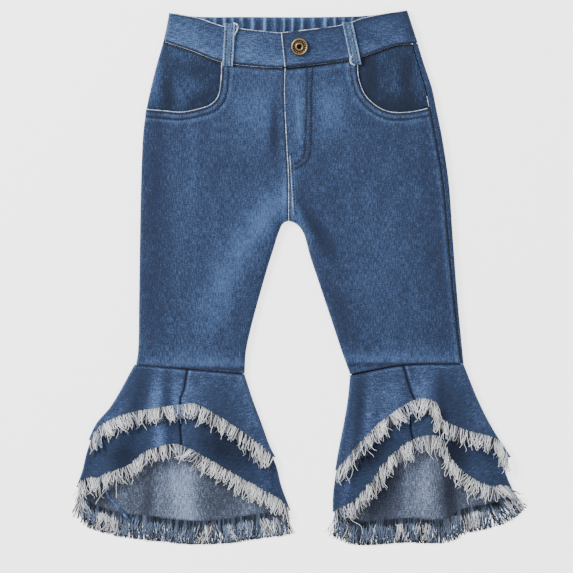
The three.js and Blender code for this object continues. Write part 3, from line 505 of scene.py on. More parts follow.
def new_piece(name, points, faces, materials, indexes=None, fields=None, shade=True):
    """A mesh object from points in millimetres, with values kept for its materials."""
    mesh = bpy.data.meshes.new(name)
    mesh.from_pydata((np.asarray(points) * MM).tolist(), [], faces)
    for material in materials:
        mesh.materials.append(material)
    if indexes is not None:
        mesh.polygons.foreach_set("material_index", np.asarray(indexes, np.int32))
    mesh.polygons.foreach_set("use_smooth", np.full(len(mesh.polygons), shade))
    for field, values in (fields or {}).items():
        values = np.asarray(values, np.float32)
        kind, key = ("FLOAT_VECTOR", "vector") if values.ndim > 1 else ("FLOAT", "value")
        mesh.attributes.new(field, kind, "POINT").data.foreach_set(key, values.ravel())
    mesh.update()
    piece = bpy.data.objects.new(name, mesh)
    bpy.context.scene.collection.objects.link(piece)
    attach(piece, "root")
    return piece


def grid_normals(grid, handed):
    rows, columns = np.arange(grid.shape[0]), np.arange(grid.shape[1])
    along = (grid[:, np.minimum(columns + 1, columns[-1])] - grid[:, np.maximum(columns - 1, 0)])
    down = (grid[np.minimum(rows + 1, rows[-1])] - grid[np.maximum(rows - 1, 0)])
    return np.cross(down, along) * handed


def unit(vectors):
    return vectors / np.maximum(np.linalg.norm(vectors, axis=-1, keepdims=True), 1e-9)


def wall(name, grid, thickness, handed, materials, fields, relief=0.0, settle=None):
    """A closed wall of cloth round a grid of its middle points: face, inside and raw rim."""
    normals = grid_normals(grid, handed)
    if settle is not None:
        normals = settle(normals, grid)
    normals = unit(normals)
    rise = (thickness / 2 + relief * np.ones(grid.shape[:2]))[..., None]
    outer = (grid + normals * rise).reshape(-1, 3)
    inner = (grid - normals * (thickness / 2)).reshape(-1, 3)
    rows, columns = grid.shape[:2]
    index = np.arange(rows * columns).reshape(rows, columns)
    count = rows * columns
    a, b, d, e = index[:-1, :-1], index[:-1, 1:], index[1:, 1:], index[1:, :-1]
    face = np.stack([a, b, d, e], axis=-1).reshape(-1, 4)
    inside = face[:, ::-1] + count
    loop = np.concatenate([
        index[0], index[1:, -1], index[-1, -2::-1], index[-2:0:-1, 0], index[0, :1],
    ])
    rim = np.stack([loop[1:], loop[:-1], loop[:-1] + count, loop[1:] + count], axis=-1)
    faces = np.concatenate([face, inside, rim])
    points = np.concatenate([outer, inner])
    corners = points[faces]
    volume = np.einsum("ij,ij->", corners[:, 0], np.cross(corners[:, 1], corners[:, 2]))
    volume += np.einsum("ij,ij->", corners[:, 0], np.cross(corners[:, 2], corners[:, 3]))
    if volume < 0:
        faces = faces[:, ::-1]
    indexes = np.repeat([0, 1, 2], [len(face), len(inside), len(rim)])
    doubled = {}
    for field, values in fields.items():
        values = np.asarray(values, float)
        flat = values.reshape(count, -1) if values.ndim > 2 else values.reshape(count)
        doubled[field] = np.concatenate([flat, flat])
    return new_piece(name, points, faces.tolist(), materials, indexes, doubled)


def grain_of(plan, turn=0.0, shift=(0.0, 0.0)):
    """Coordinates along the cloth's own threads, in millimetres: across, along, unused."""
    x, drop = plan[..., 0] + shift[0], plan[..., 1] + shift[1]
    c, s = np.cos(np.radians(turn)), np.sin(np.radians(turn))
    return np.stack([x * c - drop * s, x * s + drop * c, np.zeros(np.shape(x))], axis=-1)


# Faded and darker places of the washed denim, many of them painted highlights and shade along its creases:
# centre, half sizes, turn in degrees, amount
WASH_AND_PAINTED_SHADE = table(
    "x drop wide tall turn amount",
    (-60, 265, 20, 75, 20, 0.17),
    (-100, 190, 26, 90, 0, 0.05),
    (-20, 205, 12, 34, 30, 0.22),
    (16, 212, 5, 26, -30, 0.26),
    (30, 222, 8, 26, -32, -0.26),
    (54, 300, 8, 30, -22, -0.14),
    (92, 250, 34, 90, -5, 0.06),
    (-30, 100, 26, 36, 10, 0.16),
    (44, 98, 20, 30, -10, 0.18),
    (-12, 118, 4, 28, 0, -0.22),
    (-130, 200, 10, 130, 0, -0.12),
    (150, 250, 10, 110, -4, -0.05),
    (-96, 350, 60, 10, 4, 0.10),
    (120, 346, 60, 10, -2, 0.10),
    (11, 106, 9, 44, 0, 0.12), (12, 110, 2, 30, -4, 0.16), (4, 70, 6, 2, 0, 0.12), (7, 78, 6, 1.6, 8, 0.12),
)


# Lighter and darker patches on the hip pieces: centre, half sizes, turn in degrees, amount
POCKET_TONE_PATCHES = table(
    "x drop wide tall turn amount",
    (-132, 78, 6, 40, 6, 0.12), (-118, 84, 6, 26, 0, -0.15), (-102, 80, 8, 24, 10, 0.10),
    (-92, 60, 16, 8, 20, -0.12), (-86, 90, 12, 8, 0, -0.08),
    (134, 78, 7, 36, -8, 0.08), (104, 70, 14, 26, 12, 0.08), (120, 62, 6, 20, 0, -0.10),
    (84, 66, 6, 26, 0, -0.16), (116, 96, 20, 6, 0, -0.12), (110, 76, 40, 40, 0, -0.12),
)


# Sums a table's lighter and darker patches: wash fading, and painted highlights and shade, as each table
# lists
def tone_patches_of(rows, x, drop):
    total = np.zeros(np.shape(x))
    for cx, cdrop, wide, tall, turn, amount in zip(*rows.values()):
        c, s = np.cos(np.radians(turn)), np.sin(np.radians(turn))
        across = ((x - cx) * c + (drop - cdrop) * s) / wide
        along = (-(x - cx) * s + (drop - cdrop) * c) / tall
        total += amount * np.exp(-across ** 2 - along ** 2)
    return total


# Materials


def linear(code):
    """A colour from its sRGB hex value, as the shader wants it."""
    values = [int(code[k:k + 2], 16) / 255 for k in (1, 3, 5)]
    return (*[v / 12.92 if v <= 0.04045 else ((v + 0.055) / 1.055) ** 2.4 for v in values], 1.0)


def node(tree, kind, settings=None, links=None):
    """Adds one node, sets its properties and inputs, and links its inputs to other nodes."""
    made = tree.nodes.new(kind)
    for key, value in (settings or {}).items():
        if isinstance(key, str) and hasattr(made, key):
            setattr(made, key, value)
        else:
            made.inputs[key].default_value = value
    for key, (source, output) in (links or {}).items():
        tree.links.new(source.outputs[output], made.inputs[key])
    return made


def set_inputs(surface, values):
    for name, value in values.items():
        surface.inputs[name].default_value = value


def ramp(tree, source, output, stops):
    made = node(tree, "ShaderNodeValToRGB", links={"Fac": (source, output)})
    band = made.color_ramp
    while len(band.elements) < len(stops):
        band.elements.new(0.5)
    for element, (place, colour) in zip(band.elements, stops):
        element.position = place
        element.color = colour
    return made


def new_material(name):
    material = bpy.data.materials.new(name)
    material.use_nodes = True
    tree = material.node_tree
    return material, tree, tree.nodes["Principled BSDF"]


# Pattern scales across and along the cloth: one over the size of a feature in millimetres.
# Real warp threads lie 0.45 mm apart and would vanish at this size, so slubs are drawn 1 mm wide
# and 6 mm long, flecks 1 mm wide, and the twill's diagonals 1.5 mm apart; fading is 11 to 30 mm
SLUB = (0.95, 0.17, 1.0)
FLECK = (1.0, 0.85, 1.0)
MOTTLE = (0.09, 0.035, 1.0)
TWILL = (0.62, 0.36, 1.0)


def denim(name, dark, mid, light, slubs, mottling=0.3, bump=0.5):
    """Woven cotton twill, washed: uneven upright warp threads over a pale weft, softly faded.

    The eye sees a matt blue with fine paler streaks and flecks, palest where the cloth is rubbed. The fade
    attribute that shifts its tone carries painted highlights and shade of creases, folds and seams as well as
    the wash's fading.
    """
    material, tree, surface = new_material(name)
    grain = node(tree, "ShaderNodeAttribute", {"attribute_name": "grain"})
    # The fade attribute adds wash fading and painted highlights and shade to the tone
    fade = node(tree, "ShaderNodeAttribute", {"attribute_name": "fade"})

    def scaled(scale):
        settings = {"operation": "MULTIPLY", 1: scale}
        return node(tree, "ShaderNodeVectorMath", settings, {0: (grain, "Vector")})

    def noise(scale, detail, rough):
        settings = {"Scale": 1.0, "Detail": detail, "Roughness": rough}
        return node(tree, "ShaderNodeTexNoise", settings, {"Vector": (scaled(scale), "Vector")})

    def add(source, share, before, output):
        """Adds a pattern, by its share, to the sum so far; a pattern of 0.5 adds nothing."""
        settings = {"operation": "MULTIPLY_ADD", 1: share, 2: -share / 2}
        weighted = node(tree, "ShaderNodeMath", settings, {0: (source, "Fac")})
        links = {0: (weighted, "Value"), 1: (before, output)}
        return node(tree, "ShaderNodeMath", {"operation": "ADD"}, links)

    twill = node(
        tree, "ShaderNodeTexWave",
        {"wave_type": "BANDS", "bands_direction": "DIAGONAL", "Scale": 1.0, "Distortion": 2.0, "Detail": 2.0},
        {"Vector": (scaled(TWILL), "Vector")},
    )
    threads = add(noise(SLUB, 3.0, 0.65), slubs, fade, "Fac")
    threads = add(noise(FLECK, 2.0, 0.7), slubs * 1.15, threads, "Value")
    threads = add(twill, 0.07, threads, "Value")
    washed = add(noise(MOTTLE, 3.0, 0.55), mottling, threads, "Value")
    centred = node(tree, "ShaderNodeMath", {"operation": "ADD", 1: 0.5}, {0: (washed, "Value")})
    colour = ramp(tree, centred, "Value", [(0.0, linear(dark)), (0.5, linear(mid)), (1.0, linear(light))])
    tree.links.new(colour.outputs["Color"], surface.inputs["Base Color"])
    settings = {"Strength": bump, "Distance": 0.0005}
    bumped = node(tree, "ShaderNodeBump", settings, {"Height": (threads, "Value")})
    tree.links.new(bumped.outputs["Normal"], surface.inputs["Normal"])
    set_inputs(surface, {
        "Roughness": 0.88, "Specular IOR Level": 0.25, "Sheen Weight": 0.06, "Sheen Roughness": 0.5,
    })
    return material


def cotton_thread(name, dark, light):
    """Spun cotton, matt and a little fuzzy, so that it shows no shine.

    Each thread has its own tone between two colours, partly at random and partly painted shade: the fringes
    darken their lowest threads and each thread where it leaves the cloth.
    """
    material, tree, surface = new_material(name)
    tone = node(tree, "ShaderNodeAttribute", {"attribute_name": "tone"})
    colour = ramp(tree, tone, "Fac", [(0.0, linear(dark)), (1.0, linear(light))])
    tree.links.new(colour.outputs["Color"], surface.inputs["Base Color"])
    set_inputs(surface, {"Roughness": 0.9, "Specular IOR Level": 0.2, "Sheen Weight": 0.3})
    return material


# Each cloth's darkest, usual and palest tone, then its streaks and its fading
DENIM_FACE = denim("washed_denim_face", "#0c1527", "#202c47", "#52709f", 0.85, 0.24)
POCKET_FACE = denim("unworn_denim_face", "#091120", "#182339", "#43608f", 0.8, 0.35)
BAND_FACE = denim("washed_denim_waistband", "#0d182e", "#243350", "#6180b2", 0.85, 0.3)
FLOUNCE_FACE = denim("washed_denim_flounce", "#0b1428", "#253450", "#627fb3", 0.85, 0.22)
DENIM_INSIDE = denim("denim_weft_side", "#1a2030", "#414858", "#8f9fc0", 1.2, 0.3)
SEAM_EDGE = denim("seam_shadow_edge", "#070d1a", "#141f34", "#3b5178", 0.8)
WORN_EDGE = denim("worn_seam_edge", "#33486c", "#8296bc", "#e6ebf5", 1.3)
LOOP_FACE = denim("worn_denim_loop", "#16243d", "#445b7e", "#a4b8d6", 1.0, 0.5)
# Dyed topstitching, darker than the cloth so that its rows also draw painted shade along the seams, and the
# frayed weft and warp of the fringes, whose dark tones are partly painted shade
NAVY_THREAD_AND_SEAM_SHADE = cotton_thread("navy_sewing_thread_and_seam_shade", "#050914", "#121c30")
WEFT_THREAD = cotton_thread("undyed_weft_thread", "#363945", "#fafbff")
WARP_THREAD = cotton_thread("indigo_warp_thread", "#070d1a", "#7688a8")


# Body panels

FACES = [DENIM_FACE, DENIM_INSIDE, SEAM_EDGE]
pocket = {side: line(POCKET[side]) for side in SIDES}
waist = {side: line(WAIST_SEAM[side]) for side in SIDES}
centre_front = line(CENTRE_FRONT)
centre_back = line(CENTRE_BACK)
pocket_chain = {side: chain(pocket[side], 40) for side in SIDES}
waist_chain = {side: chain(waist[side], 40) for side in SIDES}
centre_chain = chain(centre_front, 40)
# The two rows of stitching that bend round below the fly
FLY = {
    "inner": table(
        "x drop", (20.5, 58), (20.5, 80), (19.4, 110), (18.2, 136), (16.6, 147), (12, 152), (5.8, 156),
    ),
    "outer": table(
        "x drop", (25.5, 58), (24.6, 80), (24.3, 110), (24.1, 134), (21.5, 149), (14.5, 155.6), (5.8, 160),
    ),
}
# A second row beside the centre front, and three bartacks across it
BESIDE_CENTRE = np.array([[4.9, 143.0], [6.6, 170.0], [8.9, 208.0]])
BARTACKS = ((4.6, 143.2), (3.4, 160.8), (1.2, 174.5))
FLY_EDGE = chain(line(FLY["outer"]), 60) + [1.2, 1.2]


def front_relief(side, x, drop):
    """Low relief sewn into the front: the pocket's hemmed edge, the fly and small creases."""
    inside = -signed_distance(pocket_chain[side], x, drop) * SIGN[side]
    hemmed = 0.35 * (1 - smooth(np.abs(inside - 3.6), 2.6, 5.0))
    groove = -0.28 * ridge(inside - 7.6, 0.9)
    relief = hemmed + groove + crease_height(FINE_CREASES, x, drop)
    under_band = signed_distance(waist_chain[side], x, drop) * SIGN[side]
    relief -= 0.3 * ridge(under_band, 2.0)
    if side == "right":
        fly = signed_distance(FLY_EDGE, x, drop)
        raised = smooth(fly, 0.0, 1.6) * smooth(drop, 57, 60) * (1 - smooth(drop, 158, 160))
        relief += 0.4 * raised
    return relief


def seam_wear_and_shade(side, x, drop):
    """Tone along the sewn lines of the front: pale on their ridges from abrasion and painted highlight, with
    painted shade in dark lines beside them.
    """
    inside = -signed_distance(pocket_chain[side], x, drop) * SIGN[side]
    pocket_band = 0.14 * ridge(inside - 4.2, 1.8) + 0.16 * ridge(inside - 9.6, 2.0)
    pocket_band -= 0.34 * ridge(inside - 1.5, 0.8) + 0.3 * ridge(inside - 7.2, 0.8)
    centre = np.abs(signed_distance(centre_chain, x, drop))
    middle = (0.16 * ridge(centre - 4.0, 2.6)) * smooth(drop, 120, 170)
    below = np.abs(signed_distance(waist_chain[side], x, drop))
    waist_line = 0.1 * ridge(below - 5, 2.5) - 0.45 * ridge(below - 1.2, 1.2)
    if side == "right":
        for rows in FLY.values():
            middle -= 0.26 * ridge(signed_distance(chain(line(rows), 40), x, drop), 0.8)
        beside = tangent_x(BODY, side, drop) + seam_reach(BODY, side, drop) - x
        middle += 0.1 * ridge(beside - 4, 2) - 0.45 * ridge(beside, 1.3)
    knee = KNEE[side]["drop"][1] - drop
    hem_line = -0.25 * ridge(knee - 0.4, 1.4) + 0.08 * ridge(knee - 6, 4)
    return pocket_band + middle + waist_line + hem_line


def settle_rims(last_column, crotch_row):
    """Keeps the rims of front and back level where they meet at the side, centre and crotch."""
    def settle(normals, grid):
        level = np.abs(grid[..., 2] - BODY["middle"]) < BODY["turn"] / 3
        normals[..., 2] = np.where(level, 0.0, normals[..., 2])
        normals[:crotch_row, last_column, 0] = 0.0
        return normals
    return settle


TURN_SHARES = np.concatenate([[0, 0.0015, 0.004], np.linspace(0.008, 0.06, 10)])


def front_panel(side):
    """A front leg from the pocket's edge and the waist down to the knee seam."""
    waist_share = share_at(waist[side], POCKET[side]["x"][-1])
    top_inner = moved(lambda share: waist[side](mix(waist_share, 1, share)), 0, -WAIST_TUCK)
    pocket_share = 0.58
    top = joined(pocket[side], top_inner, pocket_share)
    centre = moved(centre_front, SIGN[side] * SEAM_GAP / 2, 0)
    inner = joined(centre, inseam[side], 0.5)
    knee = knee_from_side(side)
    outer = side_seam(BODY, side, 1, POCKET[side]["drop"][0], knee(0.0)[1])
    across = np.concatenate([
        TURN_SHARES, np.linspace(0.075, pocket_share - 0.012, 34),
        [pocket_share - 0.004, pocket_share, pocket_share + 0.004],
        np.linspace(pocket_share + 0.012, 0.97, 32), [0.98, 0.986, 0.992, 0.996, 1],
    ])
    down = np.concatenate([
        [0, 0.002, 0.006], np.linspace(0.012, 0.49, 62), [0.496, 0.5, 0.504, 0.508],
        np.linspace(0.514, 0.99, 62), [0.996, 1],
    ])
    plan = patch(top, knee, outer, inner, across, down)
    x, drop = plan[..., 0], plan[..., 1]
    crotch_row = int(np.searchsorted(down, 0.5)) + 1
    fade = tone_patches_of(WASH_AND_PAINTED_SHADE, x, drop) + seam_wear_and_shade(side, x, drop)
    piece = wall(
        f"front_leg_{side}", laid(BODY, x, drop, 1), DENIM, -SIGN[side], FACES,
        {"grain": grain_of(plan), "fade": fade},
        front_relief(side, x, drop), settle_rims(len(across) - 1, crotch_row),
    )
    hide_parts(f"front_panel_{side}")
    return piece


def back_panel(side):
    """A back leg, which lies flat on the surface."""
    top = line(BACK_TOP[side])
    centre = moved(centre_back, SIGN[side] * SEAM_GAP / 2, 0)
    inner = joined(centre, inseam[side], 0.5)
    knee = knee_from_side(side)
    outer = side_seam(BODY, side, -1, BACK_TOP[side]["drop"][0], knee(0.0)[1])
    reach = 1.0 if side == "left" else 2.0
    across = np.concatenate([
        TURN_SHARES * reach, np.linspace(0.075 * reach, 0.97, 46), [0.98, 0.986, 0.992, 0.996, 1],
    ])
    down = np.concatenate([
        [0, 0.003], np.linspace(0.012, 0.49, 44), [0.496, 0.5, 0.504, 0.508],
        np.linspace(0.514, 0.99, 44), [0.996, 1],
    ])
    plan = patch(top, knee, outer, inner, across, down)
    x, drop = plan[..., 0], plan[..., 1]
    crotch_row = int(np.searchsorted(down, 0.5)) + 1
    piece = wall(
        f"back_leg_{side}", laid(BODY, x, drop, -1), DENIM, SIGN[side], FACES,
        {"grain": grain_of(plan, shift=(400, 0)), "fade": tone_patches_of(WASH_AND_PAINTED_SHADE, -x, drop)},
        0.0, settle_rims(len(across) - 1, crotch_row),
    )
    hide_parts(f"back_panel_{side}")
    return piece


def pocket_facing(side):
    """The darker hip piece that shows through a pocket's opening and runs on under its edge."""
    sign = SIGN[side]

    def tucked(share):
        share = np.asarray(share, float)
        point = pocket[side](share)
        ahead = unit(pocket[side](np.minimum(share + 0.01, 1)) - pocket[side](np.maximum(share - 0.01, 0)))
        reach = mix(-SEAM_GAP, POCKET_TUCK, smooth(share, 0.1, 0.22))[..., None]
        return point + np.stack([ahead[..., 1], -ahead[..., 0]], axis=-1) * sign * reach

    bend = 0.66
    last_share = share_at(waist[side], tucked(1.0)[0])

    def top(share):
        share = np.asarray(share, float)
        under = mix(WAIST_GAP, -WAIST_TUCK, smooth(share, 0.1, 0.3))
        return waist[side](share * last_share) + np.stack([0 * under, under], axis=-1)

    seam = side_seam(
        BODY, side, 1, WAIST_SEAM[side]["drop"][0] + WAIST_GAP, POCKET[side]["drop"][0] - SEAM_GAP,
    )
    outer = moved(seam, -sign * 2 * SEAM_GAP, 0)
    across = np.concatenate([TURN_SHARES, np.linspace(0.08, 0.99, 40), [1]])
    plan = patch(
        top, lambda share: tucked(np.asarray(share) * bend), outer,
        lambda share: tucked(mix(1, bend, np.asarray(share))), across, spaced(40, 0.006),
    )
    x, drop = plan[..., 0], plan[..., 1]
    depth = DENIM / 2 + SEAM_GAP + FACING_DENIM / 2
    inside = signed_distance(pocket_chain[side], x, drop) * sign
    from_side = sign * (tangent_x(BODY, side, drop) - x)
    lift = -depth * (1 - smooth(inside, 2, 16)) * smooth(from_side, 0, 7)
    # Painted shade darkens the hip piece where it runs under the pocket's edge and, below, in a line under
    # the waistband; the listed patches lighten and darken it in places
    fade = 0.06 * smooth(inside, 4, 26) - 0.1 * (1 - smooth(inside, 0, 6)) + tone_patches_of(POCKET_TONE_PATCHES, x, drop)
    under_band = np.abs(signed_distance(waist_chain[side], x, drop))
    fade -= 0.5 * ridge(under_band - 1.2, 1.1)
    piece = wall(
        f"pocket_piece_{side}", laid(BODY, x, drop, 1, lift), FACING_DENIM, -sign,
        [POCKET_FACE, DENIM_INSIDE, SEAM_EDGE],
        {"grain": grain_of(plan, 6 * sign, (900, 0)), "fade": fade}, 0.0, settle_rims(-1, 0),
    )
    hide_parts(f"pocket_facing_{side}")
    return piece


def knee_allowance(side):
    """The sewn-in allowance of the knee seam: a narrow strip inside the leg, behind the seam, coloured dark
    as painted shade in the seam.
    """
    ends = (0.022, 0.988) if side == "left" else (0.012, 0.978)
    middle = knee_seam[side](np.linspace(*ends, 30))
    drops = middle[None, :, 1] + np.linspace(-4, 1, 4)[:, None]
    x = np.broadcast_to(middle[None, :, 0], drops.shape)
    grid = in_frame(x, drops, np.full(x.shape, BODY["middle"]))
    piece = wall(
        f"knee_seam_allowance_{side}", grid, 0.8, 1, [SEAM_EDGE] * 3,
        {"grain": grain_of(np.stack([x, drops], axis=-1)), "fade": np.full(x.shape, -0.5)},
    )
    return piece


# Waistband

BAND_FACES = [BAND_FACE, DENIM_INSIDE, SEAM_EDGE]


def settle_band(normals, grid):
    level = np.abs(grid[..., 2] - BAND["middle"]) < SEAM_GAP
    normals[..., 2] = np.where(level, 0.0, normals[..., 2])
    return normals


def band_lines(side):
    top_rows = np.column_stack([BAND_TOP[side]["x"], BAND_TOP[side]["drop"]])
    foot_rows = np.column_stack([WAIST_SEAM[side]["x"], WAIST_SEAM[side]["drop"]])
    if side == "left":
        top_rows = np.vstack([top_rows, [LAP_BAND["x"][0], LAP_BAND["drop"][0]]])
        foot_rows = np.vstack([foot_rows, [LAP_BAND["x"][1], LAP_BAND["drop"][1]]])
    return by_length(smooth_points(top_rows)), by_length(smooth_points(foot_rows))


def band_lift(side, x):
    if side == "left":
        return 0.0 * x
    return LAP["rise"] * (1 - smooth(x, LAP["end"], LAP["end"] + LAP["slope"]))


def front_band(side):
    """One half of the front waistband, folded round its side."""
    top, foot = band_lines(side)
    outer = side_seam(BAND, side, 1, BAND_TOP[side]["drop"][0], WAIST_SEAM[side]["drop"][0])
    ends = np.array([0.0, 1.0])

    def inner(share):
        share = np.asarray(share, float)[..., None]
        return mix(top(ends)[1], foot(ends)[1], share)

    across = np.concatenate([TURN_SHARES, np.linspace(0.075, 0.985, 84), [0.992, 0.997, 1]])
    down = spaced(22, 0.012)
    plan = patch(top, foot, outer, inner, across, down)
    x, drop = plan[..., 0], plan[..., 1]
    share = down[:, None]
    relief = 0.3 * (ridge(share - 0.05, 0.05) + ridge(share - 0.93, 0.06))
    relief = relief - 0.15 + 0.12 * np.sin(x / 5.1 + 0.6 * np.sin(x / 13)) * (1 - share)
    # The band is paler towards its foot and darker on its right half and near the right side; painted shade
    # darkens a line along its foot at the waist seam
    fade = 0.14 * share + (0.02 if side == "left" else -0.08) - 0.16 * ridge(x - 125, 6)
    fade -= 0.5 * ridge(1 - share, 0.035)
    piece = wall(
        f"waistband_face_{side}", laid(BAND, x, drop, 1, band_lift(side, x)), BAND_DENIM,
        -SIGN[side], BAND_FACES,
        {"grain": grain_of(plan, 90, (0, 1300)), "fade": fade}, relief, settle_band,
    )
    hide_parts(f"waistband_front_{side}")
    return piece


def gather_height(x):
    along = (x - GATHERS["from"]) / (GATHERS["to"] - GATHERS["from"])
    phase = GATHERS["count"] * along + 0.16 * np.sin(x * 0.11)
    ends = smooth(x, GATHERS["from"], GATHERS["from"] + GATHERS["fade"])
    ends = ends * smooth(GATHERS["to"] - x, 0, GATHERS["fade"])
    return ends * (0.5 - 0.5 * np.cos(2 * np.pi * phase))


def gather_wear_and_shade(x, drop, gathers):
    """Thin crests, pale from wear and painted highlight, between hollows darkened by painted shade, uneven
    from one gather to the next.
    """
    crest = gathers ** 7 * (0.5 + 0.25 * np.sin(x * 0.31 + 1.0) + 0.25 * np.sin(x * 0.173))
    edge = 0.12 * ridge(drop - 8.5, 1.0)
    return 0.66 * crest + 0.16 * gathers - 0.1 + edge


def back_band():
    """The elastic back waistband, gathered into upright folds on its inner face."""
    foot = line(BACK_BAND_FOOT)
    west = side_seam(BAND, "left", -1, BACK_BAND_TOP["drop"][0], WAIST_SEAM["left"]["drop"][0])
    east = side_seam(BAND, "right", -1, BACK_BAND_TOP["drop"][-1], WAIST_SEAM["right"]["drop"][0])
    turned = TURN_SHARES / 2
    across = np.concatenate([turned, np.linspace(0.036, 0.964, 380), (1 - turned)[::-1]])
    plan = patch(line(BACK_BAND_TOP), foot, west, east, across, spaced(12, 0.015))
    x, drop = plan[..., 0], plan[..., 1]
    gathers = gather_height(x)
    uneven = 0.8 + 0.2 * np.sin(x * 0.31 + 1.0)
    # The grid's outer face looks down, so the gathers are raised on the inside
    grid = laid(BAND, x, drop, -1)
    piece = wall(
        "waistband_elastic_back", grid, BAND_DENIM, 1,
        [BAND_FACE, BAND_FACE, SEAM_EDGE],
        {"grain": grain_of(plan, 0, (0, 1700)), "fade": gather_wear_and_shade(x, drop, gathers)},
        GATHERS["height"] * gathers * uneven, settle_band,
    )
    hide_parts("waistband_back")
    return piece


# Flounces


def fold_height(rows, knee_drop, x, drop):
    """Soft folds that fan out from the knee seam to the hem."""
    height = np.zeros(np.shape(x))
    down = (drop - knee_drop) / (FLARE_LEVELS["hem_drop"] - knee_drop)
    for knee, hem, rise, west, east in zip(*rows.values()):
        past = x - mix(knee, hem, down)
        away = np.minimum(np.abs(past) / np.where(past < 0, west, east), 1)
        height += rise * (0.5 + 0.5 * np.cos(np.pi * away))
    return height


def flare_levels(side):
    """Heights of both faces of both flounces of a leg at any place in plan."""
    lower = FLARES[side, "lower"]
    west, east = reader(lower["west"], "drop", "x"), reader(lower["east"], "drop", "x")
    knee_drop = reader(KNEE[side], "x", "drop")
    under_hem = reader(FLARES[side, "upper"]["back_hem"], "x", "drop")
    middle_knee = KNEE[side]["drop"][1]

    def inside(x, drop):
        return np.minimum(x - west(drop), east(drop) - x) - 3

    def grown(x, drop):
        return smooth(drop, knee_drop(x), FLARE_LEVELS["hem_drop"])

    def front(x, drop):
        growth = grown(x, drop)
        edge = mix(FRONT_LEVEL, FLARE_LEVELS["side"], growth)
        middle = mix(FRONT_LEVEL, FLARE_LEVELS["middle"], growth)
        body = mix(edge, middle, smooth(inside(x, drop), 0, FLARE_LEVELS["shoulder"]))
        fade = smooth(inside(x, drop), 0, 12)
        return body + fold_height(FOLDS[side], middle_knee, x, drop) * growth * fade

    def lower_front(x, drop):
        slope = np.hypot(
            front(x + 1, drop) - front(x - 1, drop), front(x, drop + 1) - front(x, drop - 1),
        ) / 2
        step = FLOUNCE_DENIM + SEAM_GAP + TIER_GAP * grown(x, drop)
        return front(x, drop) - step * np.hypot(1, slope)

    def lower_back(x, drop):
        clear = under_hem(x) + UNDER_FRINGE["reach"]
        settled = smooth(drop, clear, clear + UNDER_FRINGE["settle"])
        growth = smooth(drop, *BACK_FOLD_DROPS)
        fade = smooth(inside(x, drop), 0, 10)
        folds = fold_height(BACK_FOLDS[side], middle_knee, x, drop) * growth * fade
        return FLOUNCE_DENIM / 2 + (FLOUNCE_DENIM + SEAM_GAP) * (1 - settled) + folds

    return {
        "upper": (front, lambda x, drop: FLOUNCE_DENIM / 2 + 0.0 * x),
        "lower": (lower_front, lower_back),
    }


levels = {side: flare_levels(side) for side in SIDES}
TURN_ANGLES = np.radians([22.5, 45, 67.5, 90, 112.5, 135, 157.5])
HALVES = {"left": {"west": "outer", "east": "inner"}, "right": {"west": "inner", "east": "outer"}}
INWARD = {"west": 1, "east": -1}
FLOUNCE_FACES = [FLOUNCE_FACE, DENIM_INSIDE, SEAM_EDGE]


def flounce_plans(side, tier, half):
    """Plan places of a half flounce's front and back, from the knee seam to its two raw hems."""
    shape = FLARES[side, tier]
    front, back = levels[side][tier]

    def tangent(edge):
        path = line(shape[edge])

        def read(share):
            point = path(share)
            turn = (front(point[..., 0], point[..., 1]) - back(point[..., 0], point[..., 1])) / 2
            return point + np.stack([INWARD[edge] * turn, 0 * turn], axis=-1)
        return read

    top = moved(knee_seam[side], 0, KNEE_GAP[tier])
    seam = SEAM_SHARE[side]
    side_end = 0.0 if half == "west" else 1.0
    front_across = spaced(44, 0.006, seam, side_end)
    back_across = spaced(30, 0.006, side_end, 0.5)
    down = spaced(44 if tier == "upper" else 60, 0.005)
    west, east = tangent("west"), tangent("east")
    front_plan = patch(top, line(shape["hem"]), west, east, front_across, down)
    back_plan = patch(top, line(shape["back_hem"]), west, east, back_across, down)
    front_plan[:, 0, 0] -= INWARD[half] * SEAM_GAP / 2
    back_plan[:, -1, 0] -= INWARD[half] * BACK_SEAM_GAP / 2
    return front_plan, back_plan


